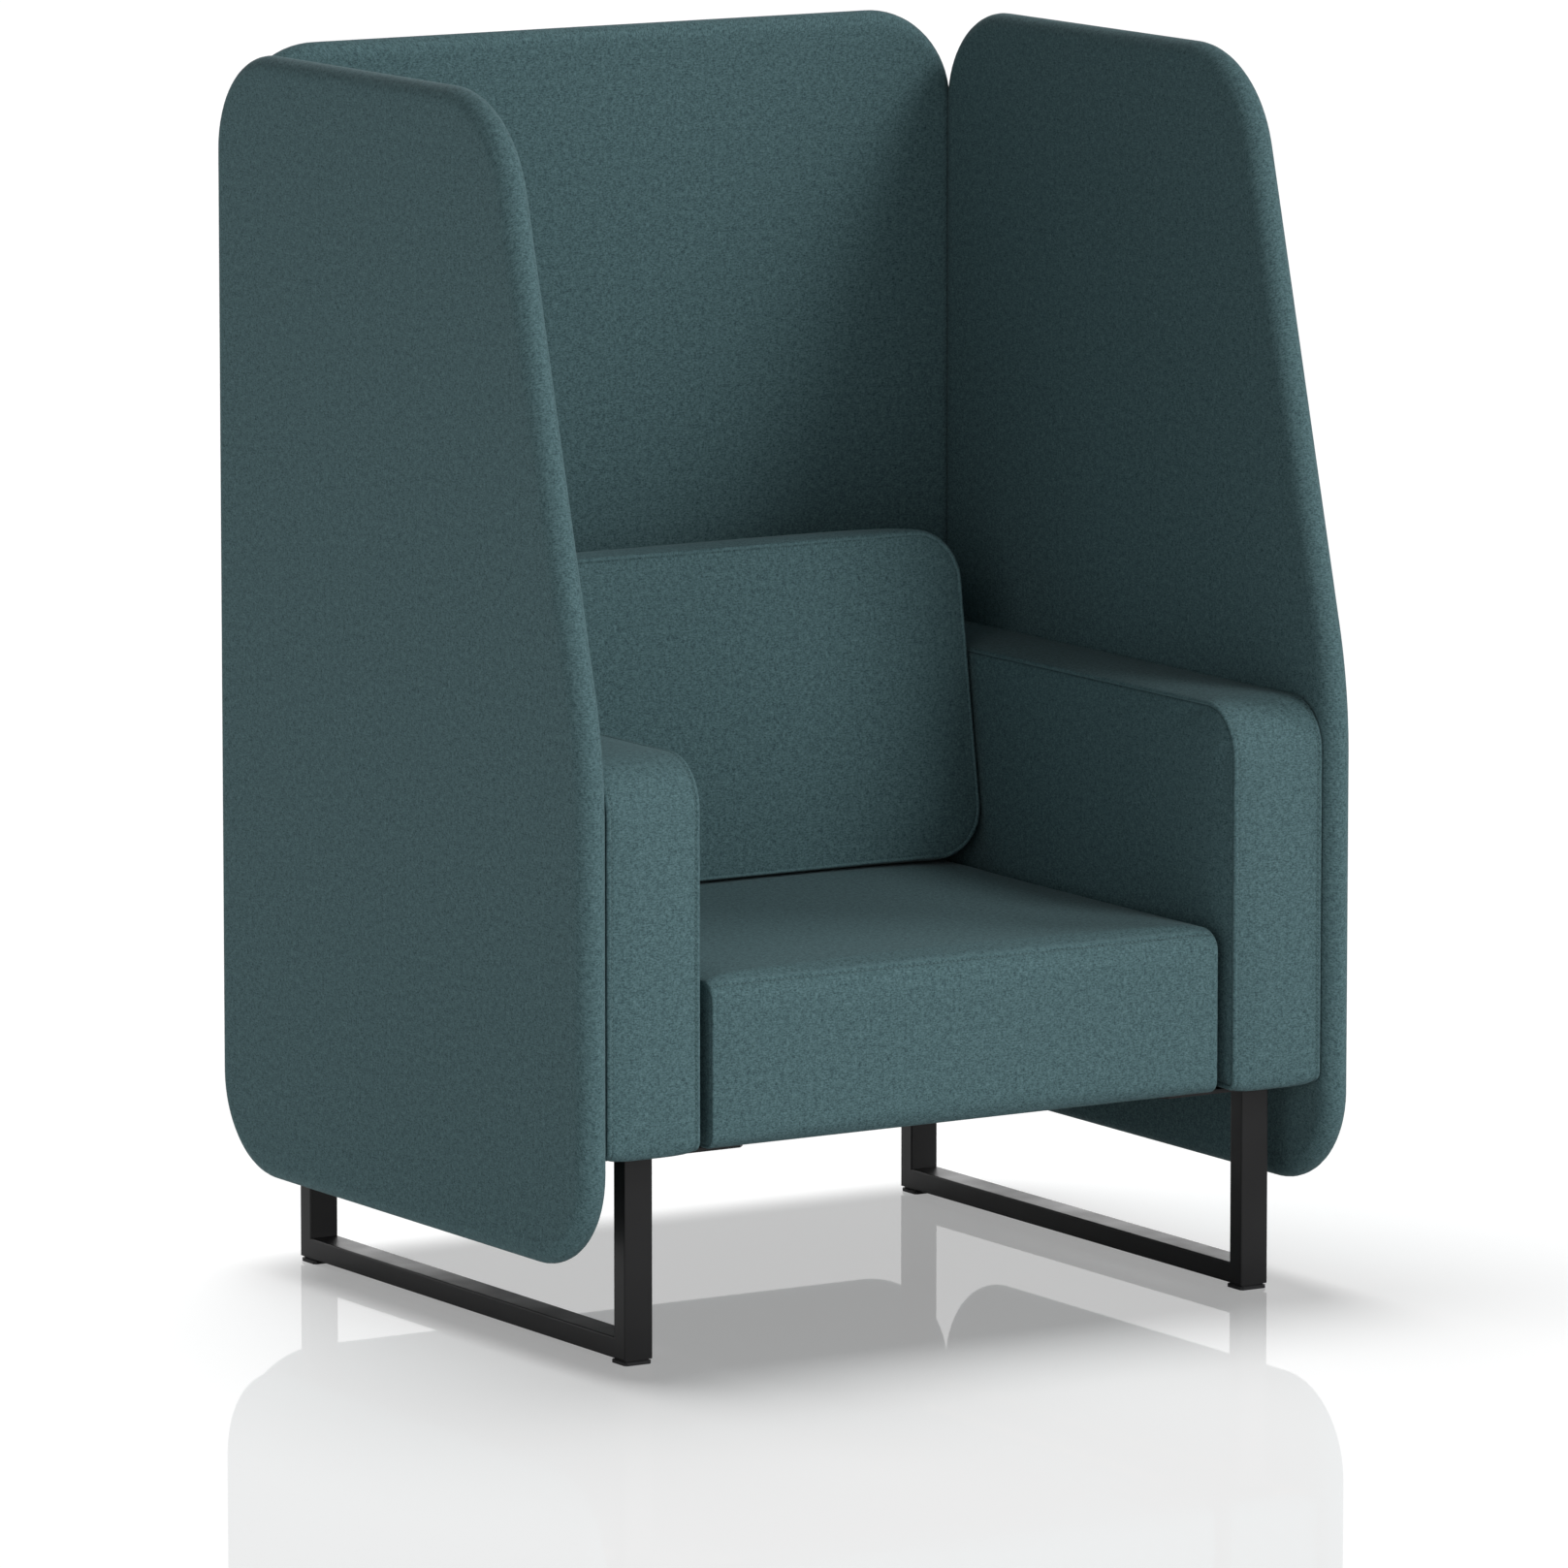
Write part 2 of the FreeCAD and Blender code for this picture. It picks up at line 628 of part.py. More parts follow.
side_panel = panel(side_outline, lambda u, v, t: at(panel_inner_x + t, u, v))
back_panel = panel(back_outline, lambda u, v, t: at(u, back_panel_front + t, v))
layers = ("core", "inner_foam", "outer_foam", "cover")
for layer, side_shape, back_shape in zip(layers, side_panel, back_panel):
    save_pair("panel_" + layer, side_shape)
    save("back_panel_" + layer, back_shape)
print("overall width", 2 * (panel_inner_x + panel_thickness), "depth", overall_depth, "height", panel_top)
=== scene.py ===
import math

import bpy
import numpy as np
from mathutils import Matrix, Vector


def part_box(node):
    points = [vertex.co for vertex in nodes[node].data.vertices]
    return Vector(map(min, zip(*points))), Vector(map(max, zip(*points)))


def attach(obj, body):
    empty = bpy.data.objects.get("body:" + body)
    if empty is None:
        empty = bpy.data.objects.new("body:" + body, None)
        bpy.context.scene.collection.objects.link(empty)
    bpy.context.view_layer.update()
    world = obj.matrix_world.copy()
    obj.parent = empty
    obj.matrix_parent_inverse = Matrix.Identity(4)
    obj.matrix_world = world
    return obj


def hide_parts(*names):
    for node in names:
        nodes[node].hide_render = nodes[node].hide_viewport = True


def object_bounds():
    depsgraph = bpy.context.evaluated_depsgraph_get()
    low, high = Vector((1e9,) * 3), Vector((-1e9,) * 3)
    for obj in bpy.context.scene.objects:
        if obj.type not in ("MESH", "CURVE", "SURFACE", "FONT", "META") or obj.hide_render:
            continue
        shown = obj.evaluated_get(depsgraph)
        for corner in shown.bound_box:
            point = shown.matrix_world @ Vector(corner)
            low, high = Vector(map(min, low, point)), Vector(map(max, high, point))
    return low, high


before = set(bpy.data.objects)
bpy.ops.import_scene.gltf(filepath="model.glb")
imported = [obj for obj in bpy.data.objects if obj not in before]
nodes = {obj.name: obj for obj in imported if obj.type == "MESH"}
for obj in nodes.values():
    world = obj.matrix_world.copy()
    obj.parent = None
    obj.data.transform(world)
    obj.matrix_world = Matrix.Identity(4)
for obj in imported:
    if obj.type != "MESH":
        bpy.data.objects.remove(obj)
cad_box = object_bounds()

# Sled legs and mounting plates: rectangular steel tube mitred and welded into a loop, with steel
# plates on top. All of it is powder coated in satin black, which leaves a very fine pebbled skin.


def shader_group(name, inputs, outputs):
    """Empty node group with named sockets; each input is (name, socket type, default)."""
    group = bpy.data.node_groups.new(name, "ShaderNodeTree")
    for label, kind, default in inputs:
        socket = group.interface.new_socket(label, in_out="INPUT", socket_type=kind)
        if default is not None:
            socket.default_value = default
    for label, kind in outputs:
        group.interface.new_socket(label, in_out="OUTPUT", socket_type=kind)
    return group, group.nodes.new("NodeGroupInput"), group.nodes.new("NodeGroupOutput")


def node(tree, kind, settings=None, values=None, links=None):
    """One node with its settings, plain input values, and links from other sockets."""
    made = tree.nodes.new(kind)
    for key, value in (settings or {}).items():
        setattr(made, key, value)
    for key, value in (values or {}).items():
        made.inputs[key].default_value = value
    for key, socket in (links or {}).items():
        tree.links.new(socket, made.inputs[key])
    return made


def pebbled_skin_group():
    """Fine pebbles from two sizes of noise: they raise the surface and vary its gloss a little."""
    group, source, sink = shader_group(
        "Pebbled skin",
        [("Position", "NodeSocketVector", None), ("Pebbles per metre", "NodeSocketFloat", 900.0),
         ("Smoothest", "NodeSocketFloat", 0.3), ("Roughest", "NodeSocketFloat", 0.45)],
        [("Roughness", "NodeSocketFloat"), ("Height", "NodeSocketFloat")])
    fine = node(group, "ShaderNodeTexNoise", values={"Detail": 2.0},
                links={"Vector": source.outputs["Position"], "Scale": source.outputs["Pebbles per metre"]})
    broad = node(group, "ShaderNodeTexNoise", values={"Scale": 14.0, "Detail": 3.0},
                 links={"Vector": source.outputs["Position"]})
    gloss = node(group, "ShaderNodeMapRange",
                 links={"Value": broad.outputs["Fac"], "To Min": source.outputs["Smoothest"],
                        "To Max": source.outputs["Roughest"]},
                 values={"From Min": 0.3, "From Max": 0.7})
    group.links.new(gloss.outputs["Result"], sink.inputs["Roughness"])
    group.links.new(fine.outputs["Fac"], sink.inputs["Height"])
    return group


pebbled_skin = pebbled_skin_group()


def hard_material(name, colour, metallic, pebbles, gloss, relief):
    """Coated metal or moulded plastic: pebbled skin on Object coordinates under a Principled shader."""
    material = bpy.data.materials.new(name)
    material.use_nodes = True
    tree = material.node_tree
    shader = tree.nodes["Principled BSDF"]
    shader.inputs["Base Color"].default_value = (*colour, 1)
    shader.inputs["Metallic"].default_value = metallic
    shader.inputs["Specular IOR Level"].default_value = 0.25
    place = node(tree, "ShaderNodeTexCoord")
    skin = node(tree, "ShaderNodeGroup", {"node_tree": pebbled_skin},
                {"Pebbles per metre": pebbles, "Smoothest": gloss[0], "Roughest": gloss[1]},
                {"Position": place.outputs["Object"]})
    bump = node(tree, "ShaderNodeBump", values={"Strength": relief, "Distance": 0.0003},
                links={"Height": skin.outputs["Height"]})
    tree.links.new(skin.outputs["Roughness"], shader.inputs["Roughness"])
    tree.links.new(bump.outputs["Normal"], shader.inputs["Normal"])
    return material


def dress(names, material):
    """Give carried-over nodes a finish; their meshes stay as they are."""
    for name in names:
        mesh = nodes[name].data
        mesh.materials.clear()
        mesh.materials.append(material)


black_coat = hard_material("satin_black_coat", colour=(0.007, 0.007, 0.0075), metallic=0.0, pebbles=1400.0,
                           gloss=(0.32, 0.44), relief=0.12)
dress([side + part for side in ("left_", "right_")
       for part in ("front_leg", "rear_leg", "floor_rail", "front_plate", "rear_plate")], black_coat)

# Floor glides: small pads moulded in black nylon, with a duller and finer skin than the coated steel.
# One is fixed under each end of the two floor rails and keeps the steel off the floor.
black_nylon = hard_material("black_nylon", colour=(0.012, 0.012, 0.013), metallic=0.0, pebbles=2600.0,
                            gloss=(0.5, 0.62), relief=0.2)
dress(["floor_glides"], black_nylon)

# Plate bolts: steel bolts with a dark zinc finish, turned up from below through the mounting plates
# into the timber frames of seat and arms.
dark_zinc = hard_material("dark_zinc", colour=(0.09, 0.09, 0.095), metallic=1.0, pebbles=1800.0,
                          gloss=(0.32, 0.5), relief=0.1)
dress(["plate_bolts"], dark_zinc)

# Timber: plywood boards and beech rails inside seat, arms, back and panels, left raw and never seen
# on the finished sofa. The grain is rings of noise drawn out along the sofa's width.
early_wood, late_wood = (0.52, 0.36, 0.2, 1), (0.66, 0.49, 0.3, 1)
mix_first, mix_second, mix_result = 6, 7, 2  # colour sockets of a Mix node


def timber_material():
    """Growth rings: distance from a line along X, bent by noise, through a saw wave."""
    material = bpy.data.materials.new("raw_timber")
    material.use_nodes = True
    tree = material.node_tree
    shader = tree.nodes["Principled BSDF"]
    place = node(tree, "ShaderNodeTexCoord")
    drawn = node(tree, "ShaderNodeMapping", values={"Scale": (2.0, 22.0, 22.0)},
                 links={"Vector": place.outputs["Object"]})
    rings = node(tree, "ShaderNodeTexWave", {"wave_type": "RINGS", "wave_profile": "SAW"},
                 {"Scale": 1.6, "Distortion": 5.0, "Detail": 3.0}, {"Vector": drawn.outputs["Vector"]})
    tone = node(tree, "ShaderNodeMix", {"data_type": "RGBA"}, links={"Factor": rings.outputs["Fac"]})
    tone.inputs[mix_first].default_value = early_wood
    tone.inputs[mix_second].default_value = late_wood
    bump = node(tree, "ShaderNodeBump", values={"Strength": 0.2, "Distance": 0.0004},
                links={"Height": rings.outputs["Fac"]})
    tree.links.new(tone.outputs[mix_result], shader.inputs["Base Color"])
    tree.links.new(bump.outputs["Normal"], shader.inputs["Normal"])
    shader.inputs["Roughness"].default_value = 0.6
    return material


raw_timber = timber_material()
dress([name for name in nodes if name.endswith(("board", "_core", "rails", "seat_front_rail", "seat_rear_rail",
                                                "seat_rail", "corner_blocks"))], raw_timber)

# Webbing: elastic straps woven from coarse brown yarn. They run lengthwise and crosswise under the
# seat foam and are stapled to the seat rails.


def woven_cloth_group():
    """Plain weave: the product of two sine waves lifts every other crossing, and noise stretched along
    and across the threads mixes a dark and a light yarn; broader noise gathers both into small clouds."""
    group, source, sink = shader_group(
        "Woven cloth",
        [("Position", "NodeSocketVector", None), ("Threads per metre", "NodeSocketFloat", 700.0),
         ("Slub length", "NodeSocketFloat", 3.0), ("Dark yarn", "NodeSocketColor", (0.03, 0.06, 0.07, 1)),
         ("Light yarn", "NodeSocketColor", (0.1, 0.18, 0.19, 1)), ("Contrast", "NodeSocketFloat", 1.0)],
        [("Color", "NodeSocketColor"), ("Roughness", "NodeSocketFloat"), ("Height", "NodeSocketFloat")])
    long_share, cross_share, cloud_share, crossing_share = 0.65, 0.35, 0.3, 0.35
    middle_tone = 0.5 * (long_share + cross_share + cloud_share)
    position, threads = source.outputs["Position"], source.outputs["Threads per metre"]
    split = node(group, "ShaderNodeSeparateXYZ", links={"Vector": position})
    turns = node(group, "ShaderNodeMath", {"operation": "MULTIPLY"}, {1: math.pi}, {0: threads})
    waves = []
    for axis in ("X", "Y"):
        angle = node(group, "ShaderNodeMath", {"operation": "MULTIPLY"},
                     links={0: split.outputs[axis], 1: turns.outputs[0]})
        waves.append(node(group, "ShaderNodeMath", {"operation": "SINE"}, links={0: angle.outputs[0]}))
    crossing = node(group, "ShaderNodeMath", {"operation": "MULTIPLY"},
                    links={0: waves[0].outputs[0], 1: waves[1].outputs[0]})
    flecks = []
    for long_axis in (0, 1):
        long_scale = node(group, "ShaderNodeMath", {"operation": "DIVIDE"},
                          links={0: threads, 1: source.outputs["Slub length"]})
        scales = [long_scale.outputs[0], threads] if long_axis == 0 else [threads, long_scale.outputs[0]]
        parts = [node(group, "ShaderNodeMath", {"operation": "MULTIPLY"},
                      links={0: split.outputs[axis], 1: scale}) for axis, scale in zip(("X", "Y"), scales)]
        stretched = node(group, "ShaderNodeCombineXYZ", values={"Z": 3.7 * long_axis},
                         links={"X": parts[0].outputs[0], "Y": parts[1].outputs[0]})
        flecks.append(node(group, "ShaderNodeTexNoise", values={"Scale": 1.0, "Detail": 1.5, "Roughness": 0.6},
                           links={"Vector": stretched.outputs["Vector"]}))
    both = node(group, "ShaderNodeMath", {"operation": "MULTIPLY_ADD"}, {1: long_share},
                {0: flecks[0].outputs["Fac"]})
    across = node(group, "ShaderNodeMath", {"operation": "MULTIPLY"}, {1: cross_share},
                  {0: flecks[1].outputs["Fac"]})
    group.links.new(across.outputs[0], both.inputs[2])
    clouds = node(group, "ShaderNodeTexNoise", values={"Scale": 130.0, "Detail": 2.0}, links={"Vector": position})
    shifted = node(group, "ShaderNodeMath", {"operation": "MULTIPLY_ADD"}, {1: cloud_share},
                   {0: clouds.outputs["Fac"], 2: both.outputs[0]})
    centred = node(group, "ShaderNodeMath", {"operation": "SUBTRACT"}, {1: middle_tone}, {0: shifted.outputs[0]})
    mixing = node(group, "ShaderNodeMath", {"operation": "MULTIPLY_ADD", "use_clamp": True}, {2: 0.5},
                  {0: centred.outputs[0], 1: source.outputs["Contrast"]})
    tone = node(group, "ShaderNodeMix", {"data_type": "RGBA"}, links={"Factor": mixing.outputs[0]})
    group.links.new(source.outputs["Dark yarn"], tone.inputs[mix_first])
    group.links.new(source.outputs["Light yarn"], tone.inputs[mix_second])
    rough = node(group, "ShaderNodeMapRange", values={"To Min": 0.78, "To Max": 0.95},
                 links={"Value": mixing.outputs[0]})
    height = node(group, "ShaderNodeMath", {"operation": "MULTIPLY_ADD"}, {1: crossing_share},
                  {0: crossing.outputs[0], 2: both.outputs[0]})
    group.links.new(tone.outputs[mix_result], sink.inputs["Color"])
    group.links.new(rough.outputs["Result"], sink.inputs["Roughness"])
    group.links.new(height.outputs[0], sink.inputs["Height"])
    return group


woven_cloth = woven_cloth_group()


def cloth_material(name, threads, slub, dark, light, contrast, relief, sheen, uv_map=None):
    """Woven cloth read from a piece's own map in metres, or from Object coordinates where it has none.

    The sewn attribute mixes in a darker tone where it is above 0, painted shade in seam grooves and stitch channels,
    and the light yarn where it is below, a painted highlight on folded edges."""
    # Shares of painted seam shade and painted fold highlight, and the tone of the painted seam shade.
    seam_shade_share, fold_highlight_share, seam_shade_tone = 0.75, -0.5, 0.35
    material = bpy.data.materials.new(name)
    material.use_nodes = True
    tree = material.node_tree
    shader = tree.nodes["Principled BSDF"]
    shader.inputs["Specular IOR Level"].default_value = 0.1
    shader.inputs["Sheen Weight"].default_value = sheen
    shader.inputs["Sheen Roughness"].default_value = 0.5
    if uv_map:
        position = node(tree, "ShaderNodeUVMap", {"uv_map": uv_map}).outputs["UV"]
    else:
        position = node(tree, "ShaderNodeTexCoord").outputs["Object"]
    weave = node(tree, "ShaderNodeGroup", {"node_tree": woven_cloth},
                 {"Threads per metre": threads, "Slub length": slub, "Dark yarn": (*dark, 1),
                  "Light yarn": (*light, 1), "Contrast": contrast}, {"Position": position})
    bump = node(tree, "ShaderNodeBump", values={"Strength": relief, "Distance": 0.0006},
                links={"Height": weave.outputs["Height"]})
    # Painted shade in seam grooves and stitch channels, painted highlight on folded edges.
    seam = node(tree, "ShaderNodeAttribute", {"attribute_name": "sewn"}).outputs["Fac"]
    groove = node(tree, "ShaderNodeMath", {"operation": "MULTIPLY", "use_clamp": True}, {1: seam_shade_share},
                  {0: seam})
    fold_highlight = node(tree, "ShaderNodeMath", {"operation": "MULTIPLY", "use_clamp": True}, {1: fold_highlight_share},
                {0: seam})
    shaded = node(tree, "ShaderNodeMix", {"data_type": "RGBA"}, links={"Factor": groove.outputs[0]})
    shaded.inputs[mix_second].default_value = (*(seam_shade_tone * value for value in dark), 1)
    tree.links.new(weave.outputs["Color"], shaded.inputs[mix_first])
    folded = node(tree, "ShaderNodeMix", {"data_type": "RGBA"}, links={"Factor": fold_highlight.outputs[0]})
    folded.inputs[mix_second].default_value = (*light, 1)
    tree.links.new(shaded.outputs[mix_result], folded.inputs[mix_first])
    tree.links.new(folded.outputs[mix_result], shader.inputs["Base Color"])
    tree.links.new(weave.outputs["Roughness"], shader.inputs["Roughness"])
    tree.links.new(bump.outputs["Normal"], shader.inputs["Normal"])
    return material


strap_cloth = cloth_material("brown_strap", threads=400.0, slub=5.0, dark=(0.12, 0.08, 0.05),
                             light=(0.3, 0.22, 0.14), contrast=2.0, relief=0.5, sheen=0.1)
dress(["seat_lengthwise_webbing", "seat_crosswise_webbing"], strap_cloth)

# Dust covers: thin black non-woven cloth stapled under seat, arms and back frame. It is stretched
# over the opening of the frame and sags a few millimetres in the middle.


def piece_from(name, points, quads, cloth_map, material, sewn=None):
    """New object from vertex and quad arrays with a map in metres, faces turned outwards by signed volume.

    The sewn attribute holds painted light: 1 is painted shade in the bottom of a seam, and below 0 is a painted
    highlight on the folded edge beside it."""
    corners = points[quads]
    middle = points.mean(axis=0)
    volume = np.einsum("ij,ij->i", corners[:, 0] - middle,
                       np.cross(corners[:, 1] - corners[:, 0], corners[:, 2] - corners[:, 0])).sum()
    if volume < 0:
        quads, cloth_map = quads[:, ::-1], cloth_map[:, ::-1]
    mesh = bpy.data.meshes.new(name)
    mesh.vertices.add(len(points))
    mesh.vertices.foreach_set("co", points.ravel())
    mesh.loops.add(quads.size)
    mesh.loops.foreach_set("vertex_index", quads.ravel().astype(np.int32))
    mesh.polygons.add(len(quads))
    mesh.polygons.foreach_set("loop_start", np.arange(0, quads.size, 4, dtype=np.int32))
    mesh.polygons.foreach_set("use_smooth", np.full(len(quads), True))
    mesh.uv_layers.new(name="cloth")
    mesh.uv_layers["cloth"].uv.foreach_set("vector", np.ascontiguousarray(cloth_map, dtype=np.float32).ravel())
    # Painted seam shade and painted fold highlight, read by the cloth material.
    if sewn is not None:
        mesh.attributes.new("sewn", "FLOAT", "POINT").data.foreach_set("value", sewn.astype(np.float32))
    mesh.update(calc_edges=True)
    mesh.validate()
    mesh.materials.append(material)
    piece = bpy.data.objects.new(name, mesh)
    bpy.context.scene.collection.objects.link(piece)
    return piece


def grid_quads(rows, columns):
    """Quads of a grid of points numbered row by row."""
    index = np.arange(rows * columns).reshape(rows, columns)
    return np.stack([index[:-1, :-1], index[:-1, 1:], index[1:, 1:], index[1:, :-1]], axis=-1).reshape(-1, 4)


black_felt = cloth_material("black_felt", threads=1500.0, slub=2.0, dark=(0.006, 0.006, 0.007),
                            light=(0.022, 0.022, 0.024), contrast=1.6, relief=0.3, sheen=0.1, uv_map="cloth")
dust_sag, dust_thickness, dust_below = 0.0025, 0.0006, 0.0004
dust_rows = 25
dust_rails = {"seat": "seat_front_rail", "left_arm": "left_arm_rails", "right_arm": "right_arm_rails",
              "back_frame": "back_frame_rails"}
for block, rail in dust_rails.items():
    # A level grid that sags by the product of two parabolas, which is most in the middle.
    low, high = (np.array(corner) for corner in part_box(block + "_dust_cover"))
    share = np.linspace(0, 1, dust_rows)
    across, along = np.meshgrid(share, share, indexing="ij")
    sag = dust_sag * 16 * across * (1 - across) * along * (1 - along)
    sheet_points = np.stack([low[0] + (high[0] - low[0]) * across, low[1] + (high[1] - low[1]) * along,
                             high[2] - dust_below - sag], axis=-1).reshape(-1, 3)
    sheet_quads = grid_quads(dust_rows, dust_rows)[:, ::-1]
    dust = piece_from(block + "_dust_cloth", sheet_points, sheet_quads, sheet_points[sheet_quads][:, :, :2],
                      black_felt)
    thickness = dust.modifiers.new("cloth", "SOLIDIFY")
    thickness.thickness, thickness.offset = dust_thickness, 0
    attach(dust, "root")
    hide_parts(block + "_dust_cover")

# Seat: a foam block on webbing in a sewn cover. One band of cloth runs up the front and over the top,
# joined to it by a seam along the top front edge; flat side panels are sewn in along both edges.


def rounded_loop(corners, inset, counts, bend, seam=None):
    """Points round a convex outline of corners (u, v, radius, main), moved inwards by inset.

    Every corner becomes an arc: centre plus radius times a turning unit vector. Points are spread evenly over
    length plus bend times turned angle, and crowd where a seam point (u, v) lies, in four sides that meet in the
    middle of the main corners."""
    least_radius, steps, samples = 0.0005, 24, 4001
    crowding, crowd_reach = 0.03, 0.006
    corner = np.array([(u, v) for u, v, radius, main in corners])
    radius = np.maximum(np.array([radius for u, v, radius, main in corners]) - inset, least_radius)
    arrive = corner - np.roll(corner, 1, axis=0)
    arrive /= np.linalg.norm(arrive, axis=1, keepdims=True)
    leave = np.roll(arrive, -1, axis=0)
    inward = np.stack([-arrive[:, 1], arrive[:, 0]], axis=1)
    cosine = np.einsum("ij,ij->i", arrive, leave)
    moved = corner + inset * (inward + np.roll(inward, -1, axis=0)) / (1 + cosine)[:, None]
    turn = np.arccos(np.clip(cosine, -1, 1))
    centre = moved - arrive * (radius * np.tan(turn / 2))[:, None] + inward * radius[:, None]
    angle = turn[:, None] * np.linspace(0, 1, steps + 1)
    arcs = centre[:, None] + radius[:, None, None] * (
        arrive[:, None] * np.sin(angle)[..., None] - inward[:, None] * np.cos(angle)[..., None])
    middles = [i * (steps + 1) + steps // 2 for i, (u, v, r, main) in enumerate(corners) if main]
    turning = np.repeat(turn[:, None] / steps, steps + 1, axis=1)
    turning[:, -1] = 0
    closed = np.roll(arcs.reshape(-1, 2), -middles[0], axis=0)
    closed = np.vstack([closed, closed[:1]])
    turned = np.concatenate([[0], np.cumsum(np.roll(turning.ravel(), -middles[0]))])
    length = np.concatenate([[0], np.cumsum(np.linalg.norm(np.diff(closed, axis=0), axis=1))])
    way = np.linspace(0, length[-1], samples)
    path = np.stack([np.interp(way, length, closed[:, 0]), np.interp(way, length, closed[:, 1])], axis=1)
    run = way + bend * np.interp(way, length, turned)
    if seam is not None:
        nearest = way[np.argmin(np.linalg.norm(path - np.array(seam), axis=1))]
        run = run + crowding * np.tanh((way - nearest) / crowd_reach)
    splits = np.append(np.interp(length[[i - middles[0] for i in middles]], way, run), run[-1])
    stops = np.concatenate([np.linspace(splits[i], splits[i + 1], counts[i % 2], endpoint=False) for i in range(4)])
    at = np.interp(stops, run, way)
    return np.stack([np.interp(at, way, path[:, 0]), np.interp(at, way, path[:, 1])], axis=1)


groove_ring, fold_ring, channel_ring = 2, 3, 9


def seamed_rings(radius, steps, between, depth, reach, stitched):
    """Rings across a block: at each end a seam groove in the side, a quarter round, a stitch channel, and rings
    between. The groove has a depth and a reach, its width on the flat side.

    Returns inset, share and shift for each ring: share goes from 0 at one face to 1 at the other, and shift is the
    way in metres from that face."""
    channel_depth, channel_way = 0.0012, np.array([0.0012, 0.0028, 0.0044])
    angle = np.linspace(0, np.pi / 2, steps + 1)
    inset = np.concatenate([radius + reach * np.array([1.0, 0.5, 0.24, 0.04]), radius * (1 - np.sin(angle[1:])),
                            np.array([0.0, channel_depth, 0.0]) * stitched])
    shift = np.concatenate([depth * np.array([0.0, 0.12, 1.0, 0.24]), radius * (1 - np.cos(angle[1:])),
                            radius + channel_way])
    share = np.linspace(0, 1, between + 2)[1:-1]
    return (np.concatenate([inset, np.zeros(between), inset[::-1]]),
            np.concatenate([np.zeros(len(inset)), share, np.ones(len(inset))]),
            np.concatenate([shift, shift[-1] * (1 - 2 * share), -shift[::-1]]))


def boxed_form(corners, counts, rings, place, bend, seam=None):
    """Closed form of rings carried across a block, closed by a patch at each end.

    A patch blends its four sides: along one pair, plus along the other, less the corners (a Coons patch)."""
    inset, share, shift = rings
    loops = np.stack([rounded_loop(corners, value, counts, bend, seam) for value in inset])
    ring_count, around = loops.shape[:2]
    points = [place(loops[..., 0], loops[..., 1], share[:, None], shift[:, None]).reshape(-1, 3)]
    ring_index = np.arange(ring_count * around).reshape(ring_count, around)
    beside = np.roll(ring_index, -1, axis=1)
    quads = [np.stack([ring_index[:-1], beside[:-1], beside[1:], ring_index[1:]], axis=-1).reshape(-1, 4)]
    closed = np.concatenate([loops, loops[:, :1]], axis=1)
    run = np.zeros((ring_count, around + 1))
    run[:, 1:] = np.cumsum(np.linalg.norm(np.diff(closed, axis=1), axis=2), axis=1)
    run -= run[:, -1:] / 2
    middle_points = points[0].reshape(ring_count, around, 3)
    step = np.linalg.norm(np.diff(middle_points, axis=0), axis=2).mean(axis=1)
    cross = np.concatenate([[0], np.cumsum(step)])[:, None] * np.ones((1, around + 1))
    flat = np.stack([cross, np.broadcast_to(run[ring_count // 2], run.shape)], axis=-1)
    maps = [np.stack([flat[:-1, :-1], flat[:-1, 1:], flat[1:, 1:], flat[1:, :-1]], axis=2).reshape(-1, 4, 2)]
    first, second = counts
    s = np.linspace(0, 1, first + 1)[:, None, None]
    t = np.linspace(0, 1, second + 1)[None, :, None]
    total = ring_count * around
    for ring in (0, ring_count - 1):
        edge = np.concatenate([loops[ring], loops[ring][:1]])
        ids = np.concatenate([ring_index[ring], ring_index[ring][:1]])
        sides = [slice(0, first + 1), slice(first, first + second + 1),
                 slice(first + second, 2 * first + second + 1), slice(2 * first + second, around + 1)]
        low, far, high, near = (edge[side] for side in sides)
        high, near = high[::-1], near[::-1]
        patch = ((1 - t) * low[:, None] + t * high[:, None] + (1 - s) * near[None] + s * far[None]
                 - (1 - s) * (1 - t) * low[0] - s * (1 - t) * low[-1] - (1 - s) * t * high[0] - s * t * high[-1])
        index = np.empty((first + 1, second + 1), dtype=np.int64)
        index[:, 0], index[-1] = ids[sides[0]], ids[sides[1]]
        index[:, -1], index[0] = ids[sides[2]][::-1], ids[sides[3]][::-1]
        inner = patch[1:-1, 1:-1]
        index[1:-1, 1:-1] = total + np.arange(inner.shape[0] * inner.shape[1]).reshape(inner.shape[:2])
        total += inner.shape[0] * inner.shape[1]
        points.append(place(inner[..., 0], inner[..., 1], share[ring], shift[ring]).reshape(-1, 3))
        cells = np.stack([index[:-1, :-1], index[1:, :-1], index[1:, 1:], index[:-1, 1:]], axis=-1).reshape(-1, 4)
        cell_map = np.stack([patch[:-1, :-1], patch[1:, :-1], patch[1:, 1:], patch[:-1, 1:]],
                            axis=2).reshape(-1, 4, 2)
        if ring == 0:
            cells, cell_map = cells[:, ::-1], cell_map[:, ::-1]
        quads.append(cells)
        maps.append(cell_map)
    return np.concatenate(points), np.concatenate(quads), np.concatenate(maps), ring_index


def seam_mask(points, rings, groove, fold_highlight, channel):
    """Sewn values of a seamed form, painted light: high for painted shade in both grooves and stitch channels, below
    0 for a painted highlight on the folded edges.
    """
    sewn = np.zeros(len(points))
    for ring, value in ((groove_ring, groove), (fold_ring, -fold_highlight), (channel_ring, channel)):
        sewn[rings[[ring, -1 - ring]]] = value
    return sewn


